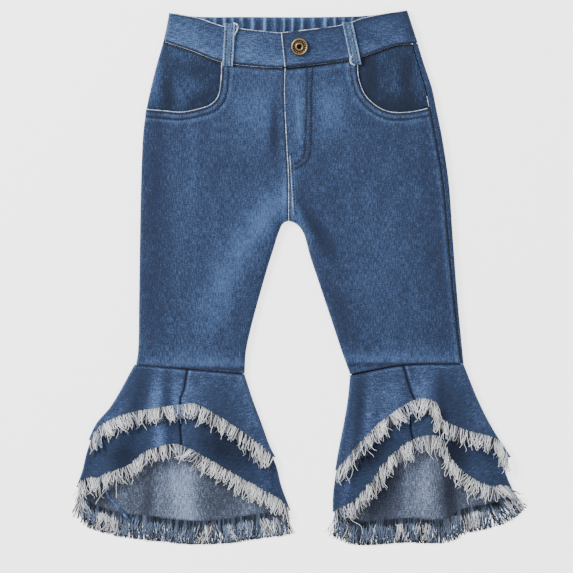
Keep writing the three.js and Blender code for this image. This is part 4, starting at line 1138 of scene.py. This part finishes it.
def flounce(side, tier, half):
    """Half of one tier: its front, its turned side and its back as one sheet of cloth."""
    front, back = levels[side][tier]
    front_plan, back_plan = flounce_plans(side, tier, half)
    fx, fdrop = front_plan[..., 0], front_plan[..., 1]
    bx, bdrop = back_plan[..., 0], back_plan[..., 1]
    ex, edrop = fx[:, -1:], fdrop[:, -1:]
    radius = (front(ex, edrop) - back(ex, edrop)) / 2
    middle = (front(ex, edrop) + back(ex, edrop)) / 2
    turn_x = ex - INWARD[half] * radius * np.sin(TURN_ANGLES)
    turn_z = middle + radius * np.cos(TURN_ANGLES)
    turn_drop = np.broadcast_to(edrop, turn_x.shape)
    xs = np.concatenate([fx, turn_x, bx], axis=1)
    drops = np.concatenate([fdrop, turn_drop, bdrop], axis=1)
    zs = np.concatenate([front(fx, fdrop), turn_z, back(bx, bdrop)], axis=1)
    grid = in_frame(xs, drops, zs)
    on_front = np.arange(xs.shape[1])[None, :] < fx.shape[1]
    length = np.concatenate(
        [np.zeros((len(xs), 1)), np.cumsum(np.hypot(np.diff(xs, axis=1), np.diff(zs, axis=1)), axis=1)],
        axis=1,
    )
    plan = np.stack([length * -INWARD[half], drops], axis=-1)
    flat_plan = np.stack([xs, drops], axis=-1)
    tilt = {"west": 90 - 14, "east": 90 + 18}[half]
    shift = (500 * (tier == "lower"), 700)
    grain = np.where(on_front[..., None], grain_of(plan, tilt, shift), grain_of(flat_plan, 0, shift))
    below = drops - drops[:1]
    seam_ridge = ridge(below - 2.4, 1.1) * (tier == "upper")
    centre_ridge = ridge(length - 2.6, 1.1) * (half == "east")
    centre_line = ridge(length, 0.9)
    top_line = ridge(below, 0.9)
    # Painted highlights on the ridges below the knee seam and beside the centre seam, and painted shade in
    # lines along the centre seam and the top
    shade = flounce_painted_shade(side, tier, xs, drops) + 0.16 * seam_ridge + 0.2 * centre_ridge
    shade = shade - 0.6 * centre_line - 0.4 * top_line
    if tier == "lower":
        # The back's inside takes painted highlights and shade of its folds, and is darker towards its hem
        under = tone_patches_of(INSIDE_PAINTED_SHADE[side], xs, drops)
        under -= 0.16 * ridge(drops[-1:] - drops, 1.8)
        shade = np.where(on_front, shade, under)
    else:
        shade = shade * on_front
    relief = -0.25 * ridge(length, 1.6) + 0.3 * centre_ridge + 0.3 * seam_ridge
    piece = wall(
        f"{tier}_flounce_cloth_{side}_{HALVES[side][half]}", grid, FLOUNCE_DENIM,
        -1 if half == "west" else 1, FLOUNCE_FACES,
        {"grain": grain, "fade": shade}, relief * on_front,
    )
    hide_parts(f"{tier}_flounce_{side}_{HALVES[side][half]}")
    return piece


# Painted highlights and shade of the folds, in light and dark upright strips on the inside of the lower
# flounces' backs
INSIDE_PAINTED_SHADE = {
    "left": table(
        "x drop wide tall turn amount",
        (-101, 488, 13, 44, -4, 0.32), (-139, 492, 6, 30, 6, -0.3), (-128, 486, 6, 34, 4, 0.1),
        (-112, 470, 3, 30, -4, 0.1), (-66, 490, 16, 24, 0, -0.16), (-34, 500, 12, 14, 0, 0.06),
        (-190, 490, 12, 14, 0, -0.30),
    ),
    "right": table(
        "x drop wide tall turn amount",
        (136, 476, 14, 50, 2, 0.15), (120, 480, 3, 40, 0, 0.12), (95, 480, 17, 44, 6, -0.42),
        (163, 482, 9, 30, -4, -0.44), (186, 488, 9, 14, 0, -0.04),
    ),
}
# Painted highlights and shade of the folds on the flounces' fronts: centre, half sizes, turn in degrees,
# amount
FLOUNCE_PAINTED_SHADE = {
    ("left", "upper"): table(
        "x drop wide tall turn amount",
        (-131, 398, 8, 36, 6, 0.20), (-110, 392, 5, 30, 0, 0.16), (-120, 392, 5, 36, 2, -0.16),
        (-150, 388, 9, 34, 18, -0.26), (-64, 404, 18, 30, -18, -0.14), (-36, 400, 9, 44, -16, 0.08),
        (-92, 384, 18, 16, 0, 0.08), (-176, 414, 8, 14, 30, 0.10),
    ),
    ("left", "lower"): table(
        "x drop wide tall turn amount",
        (-126, 430, 8, 24, 0, 0.30), (-165, 446, 22, 16, 0, -0.24), (-60, 440, 28, 14, 30, -0.36),
        (-20, 462, 10, 22, 0, 0.12), (-100, 428, 12, 14, 0, 0.06), (-190, 452, 8, 22, 10, 0.06),
    ),
    ("right", "upper"): table(
        "x drop wide tall turn amount",
        (82, 400, 4, 34, 4, 0.12), (72, 400, 6, 40, 4, -0.26), (104, 392, 12, 30, 4, 0.09),
        (136, 384, 10, 24, 0, 0.14), (168, 402, 14, 34, -14, -0.24), (157, 400, 4, 34, -6, -0.2),
        (188, 408, 11, 26, -24, 0.06),
        (123, 380, 5, 26, 0, -0.06),
    ),
    ("right", "lower"): table(
        "x drop wide tall turn amount",
        (84, 446, 24, 10, -38, -0.44), (118, 422, 12, 12, 0, 0.08), (168, 442, 14, 16, 0, -0.5),
        (200, 462, 12, 16, 0, 0.08), (60, 480, 8, 18, 0, 0.10),
    ),
}


def flounce_painted_shade(side, tier, x, drop):
    # Painted fold highlights and shade, with the lower tier darker overall
    fade = tone_patches_of(FLOUNCE_PAINTED_SHADE[side, tier], x, drop)
    return fade - (0.12 if tier == "lower" else 0.02)


# Edges and sewing


def tubes(name, paths, radii, sides, materials, fields=None, indexes=None):
    """Threads or rolled edges as one mesh: a closed tube of a few sides along each path."""
    points, faces, kinds = [], [], []
    kept = {key: [] for key in (fields or {})}
    for k, (path, radius) in enumerate(zip(paths, radii)):
        path = np.asarray(path, float)
        radius = np.broadcast_to(radius, len(path))
        ahead = unit(np.gradient(path, axis=0))
        across = unit(np.cross(ahead, [0.0, 0.0, 1.0]) + 1e-6)
        up = np.cross(across, ahead)
        first = len(points)
        for j in range(sides):
            angle = 2 * np.pi * (j + 0.5) / sides
            ring = path + (across * np.cos(angle) + up * np.sin(angle)) * radius[:, None]
            points.extend(ring)
        n = len(path)
        before = len(faces)
        for j in range(sides):
            a, b = first + j * n, first + ((j + 1) % sides) * n
            faces.extend((a + i, a + i + 1, b + i + 1, b + i) for i in range(n - 1))
        faces.append(tuple(first + j * n for j in range(sides)))
        faces.append(tuple(first + j * n + n - 1 for j in reversed(range(sides))))
        kinds.extend([indexes[k] if indexes is not None else 0] * (len(faces) - before))
        for key, values in (fields or {}).items():
            own = np.asarray(values[k], float)
            own = np.broadcast_to(own, (n, *own.shape[1:]))
            kept[key].extend(np.tile(own, (sides,) + (1,) * (own.ndim - 1)))
    piece = new_piece(name, np.array(points), faces, materials, kinds, kept)
    return piece


def front_top(side, x, drop):
    """Height of the front panel's upper face."""
    z = laid(BODY, x, drop, 1)[..., 2]
    return z + DENIM / 2 + front_relief(side, x, drop)


def band_top_height(side, x, drop):
    return BAND_LEVEL + BAND_DENIM / 2 + band_lift(side, x)


def on_cloth(plan, height, lift):
    x, drop = plan[:, 0], plan[:, 1]
    return in_frame(x, drop, height(x, drop) + lift)


def offset_line(path, count, away):
    """A line beside another one, away to its left."""
    points = chain(path, count)
    ahead = unit(np.gradient(points, axis=0))
    return points + np.stack([ahead[:, 1], -ahead[:, 0]], axis=-1) * away


# Distance of the two rows of stitches from a pocket's edge, then one stitch. Real topstitching
# thread is about 0.5 mm thick, finer than a pixel here, so it is drawn 0.8 mm thick
POCKET_ROWS = (1.5, 7.0)
# Stitches 2.5 mm long at a 3 mm pitch nearly touch, so each row also draws a dark line of painted seam shade
STITCH = {"length": 2.5, "pitch": 3.0, "radius": 0.4, "lift": 0.16, "dip": 0.4}


def stitches(name, seams):
    """Rows of single stitches: short threads that dip into the cloth at both ends."""
    paths = []
    for points, height in seams:
        path = by_length(points)
        for k in range(int(path.length // STITCH["pitch"])):
            start = (k * STITCH["pitch"]) / path.length
            shares = start + np.linspace(0, STITCH["length"] / path.length, 4)
            spine = on_cloth(path(shares), height, STITCH["lift"])
            spine[[0, -1], 2] -= STITCH["dip"]
            paths.append(spine)
    tone = chance.uniform(0, 1, len(paths))
    radii = np.full(len(paths), STITCH["radius"])
    return tubes(name, paths, radii, 5, [NAVY_THREAD_AND_SEAM_SHADE], {"tone": tone})


def panel_height(side):
    return lambda x, drop: front_top(side, x, drop)


def band_height(side):
    return lambda x, drop: band_top_height(side, x, drop)


def side_height(x, drop):
    return laid(BODY, x, drop, 1, DENIM / 2)[..., 2]


def outseam(from_drop, to_drop, beside):
    """The right side seam, which lies a little in from the edge on the front."""
    drops = np.linspace(from_drop, to_drop, 60)
    reach = seam_reach(BODY, "right", drops)
    return np.column_stack([tangent_x(BODY, "right", drops) + reach + beside, drops])


def facing_height(x, drop):
    return FRONT_LEVEL + FACING_DENIM / 2 + 0.0 * x


def body_sewing():
    """Topstitching of the pockets, centre, waist, knees, fly and side, then of the waistband."""
    seams = []
    for side in SIDES:
        sign, height = SIGN[side], panel_height(side)
        for away in POCKET_ROWS:
            seams.append((offset_line(pocket[side], 90, sign * away)[3:-3], height))
        crease = offset_line(centre_front, 80, -sign * 1.4)
        seams.append((crease, height))
        waist_row = chain(waist[side], 90) + [0.0, 2.4]
        beyond = (waist_row[:, 0] - POCKET[side]["x"][-1]) * sign < -6
        seams.append((waist_row[beyond], height))
        facing_row = waist_row[~beyond][4:-2]
        seams.append((facing_row, facing_height))
        knee_row = chain(knee_seam[side], 60)[2:-2] + [0.0, -1.2]
        seams.append((knee_row, height))
    right = panel_height("right")
    for rows in FLY.values():
        seams.append((chain(line(rows), 60), right))
    seams.append((BESIDE_CENTRE, right))
    for x, drop in BARTACKS:
        seams.append((np.array([[x - 1.6, drop], [x + 1.6, drop + 0.3]]), right))
    seams.append((outseam(104, 350, -1.6), side_height))
    stitches("body_topstitching", seams)

    band_seams = []
    for side in SIDES:
        top, foot = band_lines(side)
        shares = np.linspace(0.02, 0.97, 90)
        band_seams.append((foot(shares) + [0.0, -1.6], band_height(side)))
        shares = np.linspace(0.02, 0.86 if side == "left" else 1.0, 90)
        band_seams.append((top(shares) + [0.0, 1.7], band_height(side)))
    band_seams.append((LAP_EDGE + [1.7, 0.0], band_height("right")))
    stitches("waistband_topstitching", band_seams)


def worn_edges(name, lines):
    """Rolled cloth edges whose indigo has worn off, each a rounded line of uneven width."""
    spines, radii = [], []
    for points, height, radius, lift in lines:
        path = by_length(points)
        shares = np.linspace(0, 1, max(int(path.length / 1.2), 4))
        spines.append(on_cloth(path(shares), height, lift))
        along = shares * path.length
        radii.append(radius * (1 + 0.25 * np.sin(along / 3.1) * np.sin(along / 7.7)))
    grains = [np.stack([s[:, 0], s[:, 1] + 0.5 * s[:, 0], s[:, 2]], axis=-1) for s in spines]
    fades = [np.full(len(s), 0.16) for s in spines]
    return tubes(name, spines, radii, 6, [WORN_EDGE], {"grain": grains, "fade": fades})


# Folded ends of the loops that curl out sideways, and a seam allowance turned up in the left flare
LOOP_CURLS = {
    "left": [(-53, 13.6), (-49.6, 14.6), (-48.4, 18), (-50, 22), (-52.2, 26)],
    "right": [(66, 45), (63.4, 49.5), (64.2, 53.6), (68.5, 55.8)],
}
SEAM_TAPE = np.array([(-181, 479), (-178, 487), (-171, 494), (-165, 500), (-161, 506), (-156, 511)], float)
LAP_EDGE = np.column_stack([np.linspace(-5.0, -1.5, 30), np.linspace(23, 57, 30)])
EDGE_RADIUS = 0.42


def build_edges():
    """Worn ridges along the pockets, the centre front, the seams, the band and the lap."""
    lines, band = [], []
    for side in SIDES:
        sign, height = SIGN[side], panel_height(side)
        edge = chain(pocket[side], 90)[5 if side == "right" else 1:]
        lines.append((edge, height, EDGE_RADIUS, -0.1))
        top, foot = band_lines(side)
        shares = np.linspace(0.02, 0.86 if side == "left" else 1.0, 90)
        band.append((top(shares) + [0.0, 0.3], band_height(side), EDGE_RADIUS, -0.3))
        seam = (chain(waist[side], 90) + [0.0, 0.5])[2:-2]
        thin = 0.3 if side == "left" else 0.12
        band.append((seam, lambda x, drop: FRONT_LEVEL + DENIM / 2 + 0.25 + 0.0 * x, thin, 0.0))
    centre = chain(centre_front, 80) + [0.2, 0.0]
    lines.append((centre, panel_height("right"), EDGE_RADIUS, 0.1))
    beside = np.array([[3.4, 146.0], [5.2, 176.0], [6.9, 205.0]])
    lines.append((beside, panel_height("right"), 0.24, 0.0))
    lines.append((outseam(86, 97, -0.6), side_height, 0.32, 0.0))
    band.append((LAP_EDGE, band_height("right"), 0.46, -0.1))
    worn_edges("worn_edges_of_the_front", lines)
    worn_edges("worn_edges_of_the_waistband", band)
    curls = [(np.array(rows, float), band_height(side), 0.85, 1.6) for side, rows in LOOP_CURLS.items()]
    worn_edges("turned_ends_of_the_belt_loops", curls)
    inside = levels["left"]["lower"][1]
    tape = worn_edges("turned_seam_in_the_left_flare", [(SEAM_TAPE, inside, 1.3, 1.7)])
    tape.data.materials[0] = FLOUNCE_FACE


# Belt loops and button


LOOP_BULGE = 1.1


def loop_height(share, on_band, on_panel):
    """A loop stands off the band in its middle and comes down to the panel at its foot."""
    return mix(on_band, on_panel, smooth(share, 0.93, 1)) + LOOP_BULGE * np.sin(np.pi * share) ** 2


def belt_loop(side):
    """A folded strip with two rows of stitching, standing a little off the band."""
    loop = BELT_LOOPS[side]
    across = np.array([-1, -0.96, -0.86, -0.7, -0.5, -0.25, 0, 0.25, 0.5, 0.7, 0.86, 0.96, 1])
    down = spaced(36, 0.01)
    u, v = np.meshgrid(across, down)
    on_band = BAND_LEVEL + BAND_DENIM / 2 + SEAM_GAP + LOOP_DENIM / 2
    on_panel = FRONT_LEVEL + DENIM / 2 + SEAM_GAP + LOOP_DENIM / 2
    x = mix(loop["top"][0], loop["foot"][0], v) + u * LOOP_WIDTH / 2
    drop = mix(loop["top"][1], loop["foot"][1], v)
    z = loop_height(v, on_band, on_panel) + 0.2 * (1 - u * u)
    grid = in_frame(x, drop, z)
    relief = 0.25 * ridge(np.abs(u) - 0.86, 0.14) - 0.2 * ridge(np.abs(u) - 0.5, 0.1)
    fade = 0.35 * ridge(np.abs(u) - 0.95, 0.1) - 0.1 * ridge(u, 0.4)
    plan = np.stack([x, drop], axis=-1)
    piece = wall(
        f"belt_loop_strip_{side}", grid, LOOP_DENIM, 1, [LOOP_FACE, LOOP_FACE, WORN_EDGE],
        {"grain": grain_of(plan, 0, (300, 50)), "fade": fade}, relief,
    )
    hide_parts(f"belt_loop_{side}")
    belt_loop_sewing(side, on_band, on_panel)
    return piece


def belt_loop_sewing(side, on_band, on_panel):
    """Two rows of dark stitches along a loop."""
    loop = BELT_LOOPS[side]
    paths = []
    for track in (-0.52, 0.5):
        for k in range(13):
            share = np.linspace(k / 13.2 + 0.01, k / 13.2 + 0.066, 4)
            px = mix(loop["top"][0], loop["foot"][0], share) + track * LOOP_WIDTH / 2
            pd = mix(loop["top"][1], loop["foot"][1], share)
            pz = loop_height(share, on_band, on_panel)
            path = in_frame(px, pd, pz + LOOP_DENIM / 2 + 0.2)
            path[[0, -1], 2] -= 0.35
            paths.append(path)
    tubes(
        f"belt_loop_stitching_{side}", paths, [STITCH["radius"]] * len(paths), 5, [NAVY_THREAD_AND_SEAM_SHADE],
        {"tone": chance.uniform(0, 1, len(paths))},
    )


def antique_brass():
    """Stamped brass, a soft warm shine: dark in its hollows, rubbed bright on its rims.

    Its spots of tarnish are about 1 mm wide.
    """
    material, tree, surface = new_material("antique_brass")
    geometry = node(tree, "ShaderNodeNewGeometry")
    height = node(tree, "ShaderNodeAttribute", {"attribute_name": "tone"})
    spots = node(
        tree, "ShaderNodeTexNoise", {"Scale": 900.0, "Detail": 4.0}, {"Vector": (geometry, "Position")},
    )
    worn = node(
        tree, "ShaderNodeMath", {"operation": "MULTIPLY_ADD", 1: 0.35, 2: -0.17}, {0: (spots, "Fac")},
    )
    amount = node(tree, "ShaderNodeMath", {"operation": "ADD"}, {0: (height, "Fac"), 1: (worn, "Value")})
    colour = ramp(tree, amount, "Value", [
        (0.0, linear("#0c0a08")), (0.45, linear("#3c2f20")), (1.0, linear("#a38c68")),
    ])
    tree.links.new(colour.outputs["Color"], surface.inputs["Base Color"])
    set_inputs(surface, {"Metallic": 1.0, "Roughness": 0.42})
    return material


def button():
    """Tack button: a raised rim, a ring of evenly cut notches, and a hollow stud in the middle."""
    brass = antique_brass()
    profile = np.array([
        (0.0, 1.5), (1.9, 1.5), (2.3, 1.7), (2.6, 2.9), (3.1, 3.1), (4.0, 2.9), (4.4, 2.3),
        (5.0, 2.1), (6.3, 2.2), (6.7, 2.7), (7.3, 3.15), (7.9, 2.95), (8.5, 2.3), (8.75, 1.5),
        (8.7, 0.9), (7.9, 0.1), (0.0, 0.1),
    ])
    tones = np.array([
        0.05, 0.1, 0.3, 0.8, 1.0, 0.7, 0.3, 0.25, 0.3, 0.6, 1.0, 0.9, 0.5, 0.4, 0.3, 0.2, 0.2,
    ])
    turns = 120
    angles = np.linspace(0, 2 * np.pi, turns, endpoint=False)
    slots = 0.5 + 0.5 * np.cos(20 * angles)
    cut = smooth(slots, 0.55, 0.85)
    points, values = [], []
    for (r, z), tone in zip(profile, tones):
        ring = (r > 4.5) & (r < 6.5)
        sunk = z - 0.55 * cut * ring
        points.append(np.stack([
            r * np.cos(angles) + BUTTON["x"] - CENTRE_X,
            r * np.sin(angles) + CENTRE_DROP - BUTTON["drop"],
            sunk + BUTTON["base"] + 0.0 * angles,
        ], axis=-1))
        values.append(tone * (1 - 0.8 * cut * ring) + 0.35 * (1 - cut) * ring)
    faces = []
    for r in range(len(profile) - 1):
        for a in range(turns):
            b = (a + 1) % turns
            faces.append((r * turns + a, (r + 1) * turns + a, (r + 1) * turns + b, r * turns + b))
    tone = {"tone": np.concatenate(values)}
    piece = new_piece("tack_button", np.concatenate(points), faces, [brass], None, tone)
    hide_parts("button")


# Fringe


def hem_line(side, tier, face):
    """The raw edge of a flounce from left to right, with the direction its threads leave in."""
    west_front, west_back = flounce_plans(side, tier, "west")
    east_front, east_back = flounce_plans(side, tier, "east")
    if face == "front":
        hem = np.vstack([west_front[-1][::-1], east_front[-1][1:]])
    else:
        hem = np.vstack([west_back[-1], east_back[-1][::-1][1:]])
    along = unit(np.gradient(hem, axis=0))
    return hem, np.stack([-along[:, 1], along[:, 0]], axis=-1)


# Each frayed edge in layers from the cloth up: threads for each millimetre of hem, their mean
# length and its spread, how far they hang straight down, the share of loops and of blue
# threads, the wave of each thread, the layer's height, its tone and the threads' radius.
# Real yarns are 0.3 to 0.4 mm thick and would vanish at this size, so they are drawn 0.7 to 1.2 mm
# A layer's low tone is painted shade beneath the threads above it
LAYER = "per_mm length spread hang loops blue wave low high tone thick"
FRONT_LAYERS = (
    (1.3, 14, 2.5, 0.45, 0.2, 0.6, 0.9, 0.3, 0.9, 0.04, 0.42),
    (0.7, 15.5, 3, 0.4, 0.35, 0.08, 1.6, 0.8, 1.7, 0.32, 0.38),
    (0.66, 16.5, 3.5, 0.4, 0.6, 0.02, 2.0, 1.4, 3.0, 0.98, 0.4),
    (0.04, 22, 5, 0.3, 0.2, 0.1, 5.0, 1.6, 3.4, 0.95, 0.34),
)
FRINGE_LAYERS = {
    "upper_front": table(LAYER, *FRONT_LAYERS),
    "lower_front": table(LAYER, *FRONT_LAYERS),
    "upper_back": table(LAYER, (1.2, 14, 3, 0.6, 0.2, 0.5, 0.6, 0.0, 0.3, 0.5, 0.4)),
    "lower_back": table(
        LAYER, (3.6, 24.8, 0.4, 0.84, 0.0, 1.0, 0.2, 0.0, 0.5, 0.05, 0.62),
        (1.3, 22.8, 1.2, 0.76, 0.05, 0.995, 2.4, 0.6, 1.9, 0.72, 0.34),
        (0.45, 20, 3.0, 0.7, 0.4, 0.95, 3.0, 1.4, 2.8, 0.9, 0.36),
    ),
}
THREAD = {"points": 12, "drop_back": 1.3}
CLUMPS = {"front": 2.4, "back": 2.2}
STEEP_HEM = (0.45, 0.8)
CORNER_LEAN = {
    "left": {"x": -209.5, "lean": 0.04, "near": 10, "far": 34, "hang": 1.0},
    "right": {"x": 225.5, "lean": 0.8, "near": 6, "far": 34, "hang": 0.0},
}
# Where undyed weft threads hang in clumps over the indigo ones of the bottom fringe
PALE_CLUMPS = {
    "left": table("x wide", (-208, 6), (-175, 10), (-78, 5), (-56, 2.5), (-18, 10)),
    "right": table("x wide", (63, 3), (114, 5), (138, 5), (185, 8), (220, 5)),
}
# Indigo patches in the front fringes, where the threads of the seam show
BLUE_PATCHES = {
    ("left", "upper"): table("x wide", (-108, 7)),
    ("left", "lower"): table("x wide", (-107, 8)),
    ("right", "upper"): table("x wide", (124, 6)),
    ("right", "lower"): table("x wide", (48, 8), (133, 3), (224, 10)),
}


def rotated(vectors, angle):
    c, s = np.cos(angle), np.sin(angle)
    x, y = vectors[:, 0], vectors[:, 1]
    return np.stack([x * c - y * s, x * s + y * c], axis=-1)


def blue_share(side, tier, face, x, usual):
    if face == "back" and tier == "lower":
        clumps = PALE_CLUMPS[side]
        near = ridge(x - clumps["x"], clumps["wide"]).max()
        return usual * (1 - near * (usual < 1))
    if face == "front":
        patches = BLUE_PATCHES[side, tier]
        return usual + 0.65 * ridge(x - patches["x"], patches["wide"]).max()
    return usual


def wander(places, pitch, size):
    """A slow random change along a hem, by which neighbouring threads hang in clumps."""
    knots = np.arange(places.min(), places.max() + 2 * pitch, pitch)
    return np.interp(places, knots, chance.normal(0, size, len(knots)))


def thread_plan(start, direction, reach, look):
    """One thread in plan: a loop back to the hem, or a free end with a slow wave."""
    t = np.linspace(0, 1, THREAD["points"])
    sideways = np.array([-direction[1], direction[0]])
    curl = chance.normal(0, 0.15)
    if chance.uniform() < look["loops"]:
        wide = chance.uniform(1.0, 2.4) * chance.choice([-1, 1])
        ahead = np.sin(t * np.pi) ** 0.8 * reach * chance.uniform(0.62, 0.9) - THREAD["drop_back"]
        aside = -np.cos(t * np.pi) * wide + curl * ahead
    else:
        ahead = t * reach - THREAD["drop_back"]
        wave = look["wave"] * chance.uniform(0.3, 1.3)
        aside = curl * ahead * t + wave * np.sin(t * chance.uniform(2.5, 8) + chance.uniform(0, 6)) * t
    crimp = 0.3 * look["wave"] ** 0.5 * chance.uniform(0.4, 1.4)
    aside = aside + crimp * np.sin(t * chance.uniform(9, 17) + chance.uniform(0, 6)) * np.sqrt(t)
    return start + direction * ahead[:, None] + sideways * aside[:, None], ahead / reach


def fringe(side, tier, face):
    """The frayed edge of a hem: short threads below, dark from their indigo and from painted shade, and
    paler, more curled ones above.
    """
    level = levels[side][tier][0 if face == "front" else 1]
    hem, out = hem_line(side, tier, face)
    read = by_length(np.hstack([hem, out]))
    paths, radii, tones, kinds = [], [], [], []
    rows = FRINGE_LAYERS[f"{tier}_{face}"]
    for values in zip(*rows.values()):
        look = dict(zip(rows, values))
        length = by_length(hem).length
        count = int(length * look["per_mm"])
        places = (np.arange(count) + chance.uniform(0, 1, count)) * length / count
        if look["tone"] > 0.2:
            pitch = CLUMPS[face]
            places = chance.uniform(0, length, count)
            places = np.sort(np.round(places / pitch) * pitch + chance.normal(0, 0.15 * pitch, count))
        found = read(places / length)
        starts, away = found[:, :2], unit(found[:, 2:])
        hang = mix(look["hang"], 1, smooth(np.abs(away[:, 0]), *STEEP_HEM))
        lean = np.zeros(count)
        if tier == "lower":
            bend = CORNER_LEAN[side]
            corner = 1 - smooth(np.abs(starts[:, 0] - bend["x"]), bend["near"], bend["far"])
            lean = bend["lean"] * corner
            hang = np.maximum(hang, bend["hang"] * corner)
        heading = away * (1 - hang)[:, None] + np.stack([lean, hang], axis=-1)
        tilt, uneven = (0.24, 0.1) if face == "front" else (0.05 * look["wave"], 0.01)
        heading = rotated(unit(heading), wander(places, 5, tilt) + chance.normal(0, tilt / 3, count))
        longer = 1 + wander(places, 6, uneven)
        paler = wander(places, 2.4, 0.2)
        for start, direction, longest, pale in zip(starts, heading, longer, paler):
            reach = (look["length"] + look["spread"] * chance.uniform(-1, 1)) * longest
            plan, ahead = thread_plan(start, direction, reach, look)
            lift = chance.uniform(look["low"], look["high"])
            base = level(plan[:, 0], plan[:, 1])
            if face == "front":
                droop = 0.8 * ahead if tier == "lower" else 0.0
                z = base + 0.4 - droop + lift * np.sin(np.clip(ahead + 0.15, 0, 1) * 2.2)
            else:
                z = mix(base, 0.45 + lift, smooth(ahead, 0.05, 0.7))
            z = np.maximum(z + chance.normal(0, 0.12, len(z)) * ahead, 1.1 * look["thick"])
            paths.append(in_frame(plan[:, 0], plan[:, 1], z))
            radii.append(look["thick"] * chance.uniform(0.75, 1.15) * (1 - 0.25 * np.clip(ahead, 0, 1)))
            blue = chance.uniform() < blue_share(side, tier, face, start[0], look["blue"])
            kinds.append(int(blue))
            own = np.clip(chance.normal(look["tone"], 0.2) + pale, 0, 1)
            # Painted shade: each thread is darker near the hem, where it leaves the cloth
            tones.append(own * mix(0.65, 1.0, smooth(ahead, 0.0, 0.25)))
    piece = tubes(
        f"frayed_edge_{tier}_{face}_{side}", paths, radii, 3, [WEFT_THREAD, WARP_THREAD],
        {"tone": tones}, kinds,
    )
    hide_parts(f"fringe_{tier}_{face}_{side}")
    return piece


# Build

for side in SIDES:
    front_panel(side)
    back_panel(side)
    pocket_facing(side)
    front_band(side)
    belt_loop(side)
    knee_allowance(side)
    for tier in ("upper", "lower"):
        for half in ("west", "east"):
            flounce(side, tier, half)
        for face in ("front", "back"):
            fringe(side, tier, face)
back_band()
body_sewing()
build_edges()
button()


# Floor and light

# Floor size in metres; lamps by place and size in metres and power in watts
FLOOR_SIZE = 6.0
FLOOR_GLOW = 2.0
SKY = 0.85
LAMPS = {
    "key": ((-1.5, 1.1, 1.3), 0.8, 78.0),
    "fill": ((1.4, -0.8, 1.8), 1.8, 14.0),
}


def make_stage():
    """A pale light table under the garment, a white sky and two soft lamps."""
    material, tree, surface = new_material("white_acrylic_light_table")
    set_inputs(surface, {
        "Base Color": linear("#f4f4f6"), "Roughness": 0.9,
        "Emission Color": (1, 1, 1, 1), "Emission Strength": FLOOR_GLOW,
    })
    mesh = bpy.data.meshes.new("floor")
    half = FLOOR_SIZE / 2
    corners = [(-half, -half, 0), (half, -half, 0), (half, half, 0), (-half, half, 0)]
    mesh.from_pydata(corners, [], [(0, 1, 2, 3)])
    mesh.materials.append(material)
    floor = bpy.data.objects.new("floor", mesh)
    bpy.context.scene.collection.objects.link(floor)

    world = bpy.data.worlds.new("studio")
    world.use_nodes = True
    sky = world.node_tree.nodes["Background"]
    sky.inputs["Color"].default_value = (1, 1, 1, 1)
    sky.inputs["Strength"].default_value = SKY
    bpy.context.scene.world = world
    for name, (place, size, power) in LAMPS.items():
        data = bpy.data.lights.new(name, "AREA")
        data.size = size
        data.energy = power
        light = bpy.data.objects.new(name, data)
        light.location = place
        light.rotation_mode = "QUATERNION"
        light.rotation_quaternion = (-Vector(place)).to_track_quat("-Z", "Y")
        bpy.context.scene.collection.objects.link(light)


make_stage()
